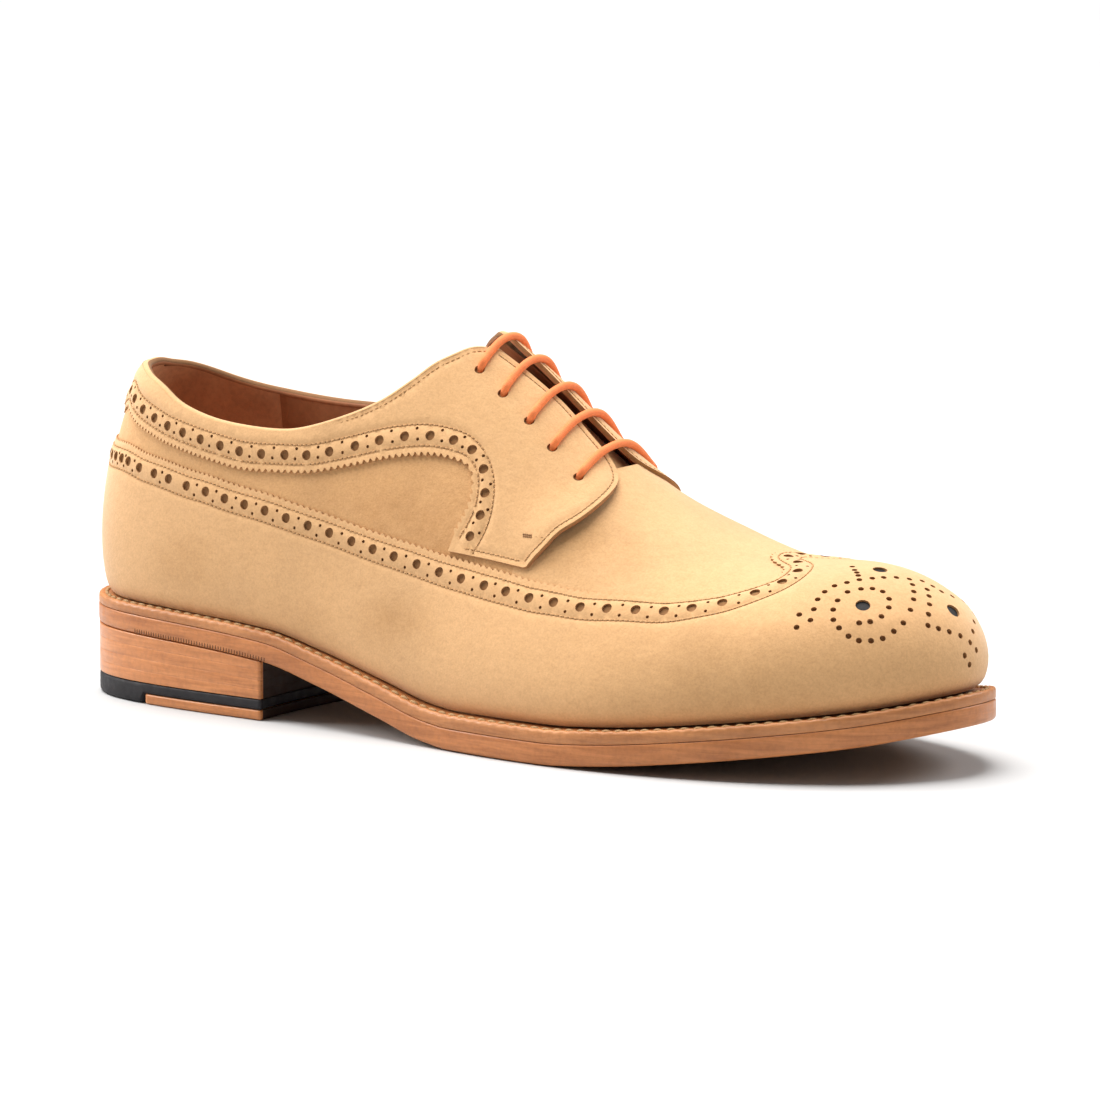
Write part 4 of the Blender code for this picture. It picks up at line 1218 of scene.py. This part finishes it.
# ---------------------------------------------------------------- sewing
tack_row = resample(lateral(TACK), 0.4)[0]
tacks = []
for at in (lateral(TACK), medial(TACK)):
    for far in (-0.25, 0.25):
        tacks.append(beside(resample(at[:2], 0.2)[0], far))
HEIGHT = lambda q: wing_face(q) - 0.17
stitches("stitching_wing", [(np.vstack([wing_up, wing_up[:1]]), HEIGHT), (np.vstack([wing_down, wing_down[:1]]), HEIGHT)] + [(l, FACE - 0.05) for l in seam], M_THREAD)
lift_row = lambda q: quarter_face(q) - 0.17
stitches("stitching_quarters", [(collar_up, lift_row), (collar_down, lambda q: quarter_face(q) - 0.09), *((l, lift_row) for l in top_rows), (lat_row, lift_row), (med_row, lift_row),
                                (lat_bottom_row, lift_row), (med_bottom_row, lift_row), (tack_row, lift_row)], M_THREAD)
mark_row = lambda q: quarter_face(q) - 0.22
needle_marks("needle_marks_quarters", [(collar_down, lambda q: quarter_face(q) - 0.15)] + [(l, mark_row) for l in (collar_up, lat_row, med_row, lat_bottom_row, med_bottom_row, tack_row)], M_NEEDLE)
needle_marks("needle_marks_wing", [(np.vstack([l, l[:1]]), lambda q: wing_face(q) - 0.22) for l in (wing_up, wing_down)], M_NEEDLE)
stitches("bartacks", [(l, lambda q: quarter_face(q) - 0.02) for l in tacks], M_TACK, 0.55, 0.62, 0.24)

# ---------------------------------------------------------------- tongue
tx = np.linspace(138.5, 206, 60)
tu = np.linspace(-1, 1, 41)
tongue_cols = []
lat_of = {}
for x in tx:
    row = []
    half_x = float(tongue_half(x)) * (0.38 + 0.62 * min(1.0, (x - 138.5) / 9.0) ** 0.6)
    for side in ("lat", "med"):
        s = column_at(x, side)
        slim = 1.0 if side == "med" else 0.15 + 0.85 * min(1.0, (x - 138.5) / 11.0)
        ys = np.abs(wall(np.full(NW, s), W_AT)[:, 1] - float(crest_y(x)))
        for u in (tu[tu < -1e-9] if side == "lat" else tu[tu >= -1e-9]):
            w = float(np.interp(-abs(u) * half_x * slim, -ys, W_AT))
            row.append((s, min(w, 0.9995), u * half_x * slim))
    tongue_cols.append(row)
T = np.array(tongue_cols)
tn = normal(T[..., 0], T[..., 1])
sag = 1.6 * np.exp(-((T[..., 2] - THROAT_SHIFT) / 7.0) ** 2)
t_top = wall(T[..., 0], T[..., 1]) - tn * (WALL + TONGUE_BELOW + sag)[..., None]
t_low = t_top - tn * 2.0
ring = lambda a: np.concatenate([a[0], a[1:, -1], a[-1, ::-1][1:], a[:0:-1, 0][1:]])
tv, tf = join([(t_top.reshape(-1, 3), sheet(t_top)), (t_low.reshape(-1, 3), [tuple(reversed(f)) for f in sheet(t_low)])])
edge_top, edge_low = ring(t_top), ring(t_low)
k, n = len(tv), len(edge_top)
tv = np.concatenate([tv, edge_top, edge_low])
tf += [(k + i, k + (i + 1) % n, k + n + (i + 1) % n, k + n + i) for i in range(n)]
top_faces = len(sheet(t_top))
piece("tongue_leather", tv, tf, [M_VAMP, M_LINING, M_CUT_EDGE_AND_SHADE], [0 if i < top_faces else 1 if i < 2 * top_faces else 2 for i in range(len(tf))], stands_for=("tongue",))

# ---------------------------------------------------------------- lace: bars over the throat, hidden runs under the facings
LACE_OFF, CORD = 1.0, 1.16


def smooth_path(points, step=0.6):
    p = np.asarray(points, float)
    at = np.concatenate([[0], np.cumsum(np.linalg.norm(np.diff(p, axis=0), axis=1))])
    f = [spline(at, p[:, k]) for k in range(3)]
    t = np.linspace(0, at[-1], max(int(at[-1] / step), 6))
    return np.stack([g(t) for g in f], -1)


for number, (a, b) in enumerate(zip(EYE_LAT, EYE_MED), 1):
    f = np.linspace(0, 1, 60)
    line = a + (b - a) * f[:, None]
    far = np.minimum(f, 1 - f) * np.linalg.norm(b - a)
    off = FACE + LACE_OFF - 3.0 * np.exp(-(far / 1.25) ** 2)
    off = off - 0.45 * np.sin(np.pi * np.clip(far / 12.0, 0, 1))
    over = place(line, off)[0]
    d = line[:, 1] - crest_y(line[:, 0])
    gap = np.where((d > THROAT_SHIFT - THROAT_HALF + 0.4) & (d < THROAT_SHIFT + THROAT_HALF - 0.4))[0]
    lo, hi = gap[0] - 1, gap[-1] + 1
    over[lo:hi + 1] = over[lo] + (over[hi] - over[lo]) * np.linspace(0, 1, hi - lo + 1)[:, None]
    knots = sorted({0, 1, 2, 3, 4, 5, 7, 10, lo // 2 + 5, lo, hi, 49, 52, 54, 55, 56, 57, 58, 59})
    path = smooth_path(over[knots], 0.4)
    v, f = tube(path, CORD, 16)
    piece("lace_cord_%d" % number, v, f, [M_LACE], stands_for=("lace_bar_%d" % number,))
runs = []
for eyes, pairs in ((EYE_LAT, ((4, 3), (2, 0), (1, 0))), (EYE_MED, ((3, 1), (4, 2), (0, 0)))):
    for i, j in pairs:
        if i == j:
            continue
        side_by = (0.9 if (i, j) in ((2, 0), (3, 1)) else -0.9) * (1 if eyes is EYE_LAT else -1)
        line = eyes[i] + (eyes[j] - eyes[i]) * np.linspace(0, 1, 24)[:, None]
        line = line + np.array([0, side_by]) * np.sin(np.pi * np.linspace(0, 1, 24))[:, None]
        p, nrm = place(line, -1.4)
        runs.append(tube(p, 0.75, 8, True, 0.62, nrm))
v, f = join(runs)
piece("lace_under_facings", v, f, [M_LACE])

# ---------------------------------------------------------------- sole, welt and heel
ring_n = 720
rs_at = np.linspace(0, AROUND, ring_n, endpoint=False)


def ring_sheet(profile):
    """Sweep round the sole edge: profile gives (inset, height over the underside as a function of x)."""
    out = []
    for inset, z in profile:
        p = edge(rs_at, np.full(ring_n, inset) if np.isscalar(inset) else inset)
        out.append(np.concatenate([p, z(p[:, 0])[:, None]], 1))
    return np.stack(out, 1)


def cap(base, count, width, col, up):
    """Fill inside one ring of a sweep, across from side to side."""
    idx = lambda i: base + (i % count) * width + col
    faces = []
    h = count // 2
    for i in range(h):
        quad = (idx(i), idx(i + 1), idx(count - i - 1), idx(count - i))
        quad = tuple(dict.fromkeys(quad))
        faces.append(quad if up else quad[::-1])
    return faces


wave = 0.16 * np.sin(rs_at / 3.1 * 2 * np.pi) + 0.07 * np.sin(rs_at / 11.3 * 2 * np.pi + 1.0)
t_of = outsole_t
outsole_profile = [
    (9.0, lambda x: under(x)), (2.2, lambda x: under(x)), (0.75, lambda x: under(x) + 0.08), (0.22, lambda x: under(x) + 0.42),
    (0.04, lambda x: under(x) + 1.0), (0.0, lambda x: under(x) + 2.6), (0.0, lambda x: under(x) + t_of(x) - 1.5),
    (0.02, lambda x: under(x) + t_of(x) - 0.45), (0.12, lambda x: under(x) + t_of(x) - 0.10), (0.45, lambda x: under(x) + t_of(x) + 0.02),
    (3.0, lambda x: under(x) + t_of(x) + 0.02)]
out_p = ring_sheet(outsole_profile)
faces = sheet(out_p, True)
w_cols = out_p.shape[1]
side_count = len(faces)
# the outsole's top under the welt takes the dark colour, painted shade in the joint
kinds = [1 if (f[0] % w_cols) < 2 else 2 if (f[0] % w_cols) > 8 else 0 for f in faces]
bottom = cap(0, ring_n, w_cols, 0, False)
topcap = cap(0, ring_n, w_cols, w_cols - 1, True)
piece("outsole_leather", out_p.reshape(-1, 3), faces + bottom + topcap, [M_SOLE, M_BOTTOM, M_DARK], kinds + [1] * len(bottom) + [2] * len(topcap), stands_for=("outsole",))

margin = edge_margin(rs_at)
toe_wave = 1.0
scallop = 0.30 * np.abs(np.sin(rs_at / 4.0 * np.pi)) - 0.15
low = lambda x: outsole_top(x) + 0.10
welt_profile = [
    (margin + 2.4, low), (0.5, low), (0.20, lambda x: low(x) + 0.06), (0.08, lambda x: low(x) + 0.35), (0.06, lambda x: low(x) + 1.7),
    (0.10, lambda x: welt_top(x) - 0.75 + scallop), (0.32, lambda x: welt_top(x) - 0.18 + scallop), (0.85, lambda x: welt_top(x) + 0.10 + scallop),
    (1.5, lambda x: welt_top(x) + 0.02 + scallop * 0.5), (2.1, lambda x: welt_top(x) - 0.20), (2.75, lambda x: welt_top(x) - 0.22), (3.5, lambda x: welt_top(x) - 0.06),
    (margin + 0.2, lambda x: welt_top(x) - 0.02), (margin + 2.4, lambda x: welt_top(x) - 0.02)]
welt_p = ring_sheet([(i if np.isscalar(i) else i, z) for i, z in welt_profile])
faces = sheet(welt_p, True)
c = welt_p.shape[1]
faces += [(i * c + c - 1, ((i + 1) % ring_n) * c + c - 1, ((i + 1) % ring_n) * c, i * c) for i in range(ring_n)]
piece("welt_leather", welt_p.reshape(-1, 3), faces, [M_WELT], stands_for=("welt",))

# thread of the welt, lying in its groove
fine = np.linspace(0, AROUND, 2400)
groove = edge(fine, 2.4)
gp = np.concatenate([groove, (welt_top(groove[:, 0]) - 0.12)[:, None]], 1)
vs, fs = [], []
sew(gp, np.tile((0.0, 0.0, 1.0), (len(gp), 1)), 4.0, 3.3, 0.5, 1.15, np.linspace(0, 2 * np.pi, 8, endpoint=False), vs, fs, 0)
piece("welt_stitching", np.concatenate(vs), fs, [M_WELT_THREAD])

# fine ticks pressed along the sole edge over the heel
def ticks(a, b):
    s = np.linspace(a, b, 500)
    p = edge(s, 0.02)
    out = np.stack([p[:, 0] - edge(s, 1.0)[:, 0], p[:, 1] - edge(s, 1.0)[:, 1], 0 * s], -1)
    at = np.concatenate([p, (under(p[:, 0]) + 0.95)[:, None]], 1)
    return at, out / np.linalg.norm(out, axis=1, keepdims=True)


vs, fs, made = [], [], 0
for a, b in ((48.0, 102.0), (AROUND - 99.0, AROUND - 46.0)):
    tp, tn_ = ticks(a, b)
    made = sew(tp, tn_, 1.05, 0.34, 0.09, 7.5, np.linspace(0, 2 * np.pi, 6, endpoint=False), vs, fs, made)
piece("heel_seat_ticks", np.concatenate(vs), fs, [M_DARK])

# heel: layers with fine lines between them
breast_dip = 2.6
STACK_IN = 0.15                                            # the stack's side, just inside the sole edge
breast_half = 36.1                                         # the breast's face is painted in shade from here inwards


def heel_outline(inset, x_cut):
    """Round the back from the lateral breast corner to the medial one, then across the hollow breast."""
    line = edge(dense, STACK_IN + inset)
    lat, med = pair_at(x_cut - inset, lambda s: edge(s, STACK_IN + inset))
    n = 150
    start, end = np.interp(x_cut - inset, line[:1200, 0], dense[:1200]), None
    back = dense[2600:]
    end = np.interp(-(x_cut - inset), -line[2600:, 0], back)
    s = np.linspace(end - AROUND, start, n)
    curve = edge(np.mod(s, AROUND), STACK_IN + inset)
    y = np.linspace(curve[-1, 1], curve[0, 1], 42)[1:-1]
    t = (y - curve[-1, 1]) / (curve[0, 1] - curve[-1, 1])
    x = (x_cut - inset) - breast_dip * np.sin(np.pi * t) ** 0.8
    return np.concatenate([curve, np.stack([x, y], -1)])


def pair_at(x, inset):
    line = inset(dense)
    tip = int(np.argmax(line[:, 0]))
    lat, med = line[:tip + 1], line[tip:]
    return (np.array([x, np.interp(x, lat[:, 0], lat[:, 1])]), np.array([x, np.interp(x, med[::-1, 0], med[::-1, 1])]))


def block(name, levels, mats, kinds, slot, stands_for, x_cut=None, shape=heel_outline):
    """Stack of outlines: levels of (inset, height as a function of x)."""
    rings_ = []
    for inset, z in levels:
        p = shape(inset, HEEL_BREAST if x_cut is None else x_cut)
        rings_.append(np.concatenate([p, np.broadcast_to(z(p[:, 0]), len(p))[:, None]], 1))
    pts = np.stack(rings_, 1)
    faces = sheet(pts, True)
    c = pts.shape[1]
    n = len(pts)
    # faces across the breast take the last colour: painted shade on the heel's front face (the rubber layer keeps its
    # own black)
    front = pts[:, 0, 0] > HEEL_BREAST - breast_dip - 1.9
    idx = [len(mats) - 1 if front[f[0] // c] and front[(f[0] // c + 1) % n] and abs(pts[f[0] // c, 0, 1]) < breast_half else kinds[f[0] % c] for f in faces]
    for col, up in ((0, False), (c - 1, True)):
        m = pts[:, col].mean(0)
        centre = len(pts) * c + (0 if not up else 1)
        faces += [((i * c + col), ((i + 1) % n) * c + col, centre) if up else (((i + 1) % n) * c + col, i * c + col, centre) for i in range(n)]
        idx += [kinds[-1]] * n
    verts = np.concatenate([pts.reshape(-1, 3), [pts[:, 0].mean(0)], [pts[:, -1].mean(0)]])
    return piece(name, verts, faces, mats, idx, stands_for=stands_for)


stack_low, layers = TOP_PIECE + 0.12, 4
levels = []
kinds = []
for i in range(layers):
    a, b = i / layers, (i + 1) / layers
    for f, inset in ((0.0, 0.10), (0.03, 0.03), (0.10, 0.0), (0.90, 0.0), (0.97, 0.03)):
        t = a + (b - a) * f
        levels.append((inset if not (i == 0 and f == 0.0) else 0.5, lambda x, t=t: stack_low + (under(x) - 0.12 - stack_low) * t))
        kinds.append(0)
levels.append((0.5, lambda x: under(x) - 0.10))
kinds.append(0)
block("heel_layers", levels, [M_HEEL, M_BREAST_SHADE], kinds, "heel_stack", ("heel_stack",))

rub = lambda x: np.where(x <= RUBBER_SPLIT + 0.25, 0.0, RUBBER_TOP)
split = lambda z0: (lambda x: z0 * (TOP_PIECE - rub(x)) + rub(x))
block("heel_rubber_layer", [(1.2, split(0.0)), (0.35, split(0.02)), (0.05, split(0.12)), (0.0, split(0.3)), (0.0, split(0.8)), (0.1, split(0.95)), (0.5, split(1.0))],
      [M_RUBBER], [0] * 7, "heel_rubber", ("heel_rubber",))


def front_outline(inset, x_cut):
    full = heel_outline(inset, x_cut)
    keep_ = full[full[:, 0] > RUBBER_SPLIT + 0.8 + inset * 0.3]
    # order: medial side, breast and lateral side arrive as two runs; start after the gap
    gap_at = int(np.argmax(np.linalg.norm(np.roll(keep_, -1, 0) - keep_, axis=1)))
    keep_ = np.roll(keep_, -gap_at - 1, 0)
    at = along(keep_)
    t = np.linspace(0, at[-1], 180)
    return np.stack([np.interp(t, at, keep_[:, 0]), np.interp(t, at, keep_[:, 1])], -1)


lt = RUBBER_TOP - 0.15
block("heel_leather_piece", [(1.2, lambda x: 0.0 * x), (0.3, lambda x: 0.0 * x + 0.05), (0.05, lambda x: 0.0 * x + 0.4), (0.0, lambda x: 0.0 * x + 0.9), (0.0, lambda x: 0.0 * x + lt - 0.5),
                             (0.1, lambda x: 0.0 * x + lt - 0.12), (0.5, lambda x: 0.0 * x + lt)], [M_HEEL, M_BREAST_SHADE], [0] * 7, "heel_leather", ("heel_leather",), shape=front_outline)

for name in ("insole",):
    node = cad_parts[name]
    for sl in node.material_slots:
        sl.material = M_SOCK

# ---------------------------------------------------------------- floor, light, camera
AZ, EL, AWAY = np.radians(35.5), np.radians(8.1), 1750.0
TARGET = np.array([151.0, 0.0, 40.0])
back = np.array([np.sin(AZ) * np.cos(EL), -np.cos(AZ) * np.cos(EL), np.sin(EL)])
right = np.array([np.cos(AZ), np.sin(AZ), 0.0])
upv = np.cross(back, right)


def row_frame(p):
    return Vector(((np.asarray(p, float) - ORIGIN) / 1000).tolist())


def aim(obj, at, to):
    obj.location = at
    obj.rotation_euler = (to - at).to_track_quat("-Z", "Y").to_euler()


cam_data = bpy.data.cameras.new("camera")
cam_data.sensor_width = 36.0
cam_data.lens = 6100.0 / 1100.0 * 36.0
cam_data.clip_end = 50.0
cam = bpy.data.objects.new("camera", cam_data)
scene.collection.objects.link(cam)
eye = row_frame(TARGET + back * AWAY)
aim(cam, eye, row_frame(TARGET + right * 6.0 + upv * 10.9))
scene.camera = cam

floor_mesh = bpy.data.meshes.new("floor")
grid = np.linspace(-6, 6, 13)
floor_v = [(x, y, -0.0002) for x in grid for y in grid]
floor_mesh.from_pydata(floor_v, [], [(i * 13 + j, (i + 1) * 13 + j, (i + 1) * 13 + j + 1, i * 13 + j + 1) for i in range(12) for j in range(12)])
floor = bpy.data.objects.new("floor", floor_mesh)
fmat, ftree, fsh = nodes_of("floor_paper")
ftree.links.new(ramp(ftree, noise(ftree, coords(ftree), 3.0, 2), [(0.3, (0.525, 0.525, 0.53)), (0.7, (0.535, 0.535, 0.54))]), fsh.inputs["Base Color"])
fsh.inputs["Roughness"].default_value = 0.9
fsh.inputs["Specular IOR Level"].default_value = 0.1
floor_mesh.materials.append(fmat)
scene.collection.objects.link(floor)


def area(name, at, to, size, power, colour=(1.0, 1.0, 1.0)):
    d = bpy.data.lights.new(name, "AREA")
    d.shape = "DISK"
    d.size = size
    d.energy = power
    d.color = colour
    o = bpy.data.objects.new(name, d)
    scene.collection.objects.link(o)
    aim(o, Vector(at), Vector(to))
    return o


def sun(name, direction, strength, angle, colour=(1.0, 1.0, 1.0)):
    d = bpy.data.lights.new(name, "SUN")
    d.energy = strength
    d.angle = np.radians(angle)
    d.color = colour
    o = bpy.data.objects.new(name, d)
    scene.collection.objects.link(o)
    aim(o, Vector(direction), Vector((0.0, 0.0, 0.0)))
    return o


mid_point = (0.0, 0.0, 0.04)
sun("soft_overhead", (-0.28, 0.05, 1.2), 5.65, 52, (1.0, 0.99, 0.97))
area("left_softbox", (-1.62, -0.52, 0.92), mid_point, 0.8, 23.0, (1.0, 0.985, 0.965))
area("back_softbox", (0.80, 1.10, 0.95), (0.10, 0.0, 0.05), 0.8, 12.0, (1.0, 1.0, 1.0))
world = bpy.data.worlds.new("studio")
scene.world = world
world.use_nodes = True
bg = world.node_tree.nodes["Background"]
bg.inputs["Color"].default_value = (1.0, 1.0, 1.0, 1.0)
bg.inputs["Strength"].default_value = 0.225
path_node = world.node_tree.nodes.new("ShaderNodeLightPath")
white = world.node_tree.nodes.new("ShaderNodeBackground")
white.inputs["Color"].default_value = (1.0, 1.0, 1.0, 1.0)
white.inputs["Strength"].default_value = 1.0
pick_bg = world.node_tree.nodes.new("ShaderNodeMixShader")
world.node_tree.links.new(path_node.outputs["Is Camera Ray"], pick_bg.inputs["Fac"])
world.node_tree.links.new(bg.outputs["Background"], pick_bg.inputs[1])
world.node_tree.links.new(white.outputs["Background"], pick_bg.inputs[2])
world.node_tree.links.new(pick_bg.outputs["Shader"], world.node_tree.nodes["World Output"].inputs["Surface"])
scene.view_settings.view_transform = "Standard"
scene.view_settings.look = "None"
scene.view_settings.exposure = 0.0
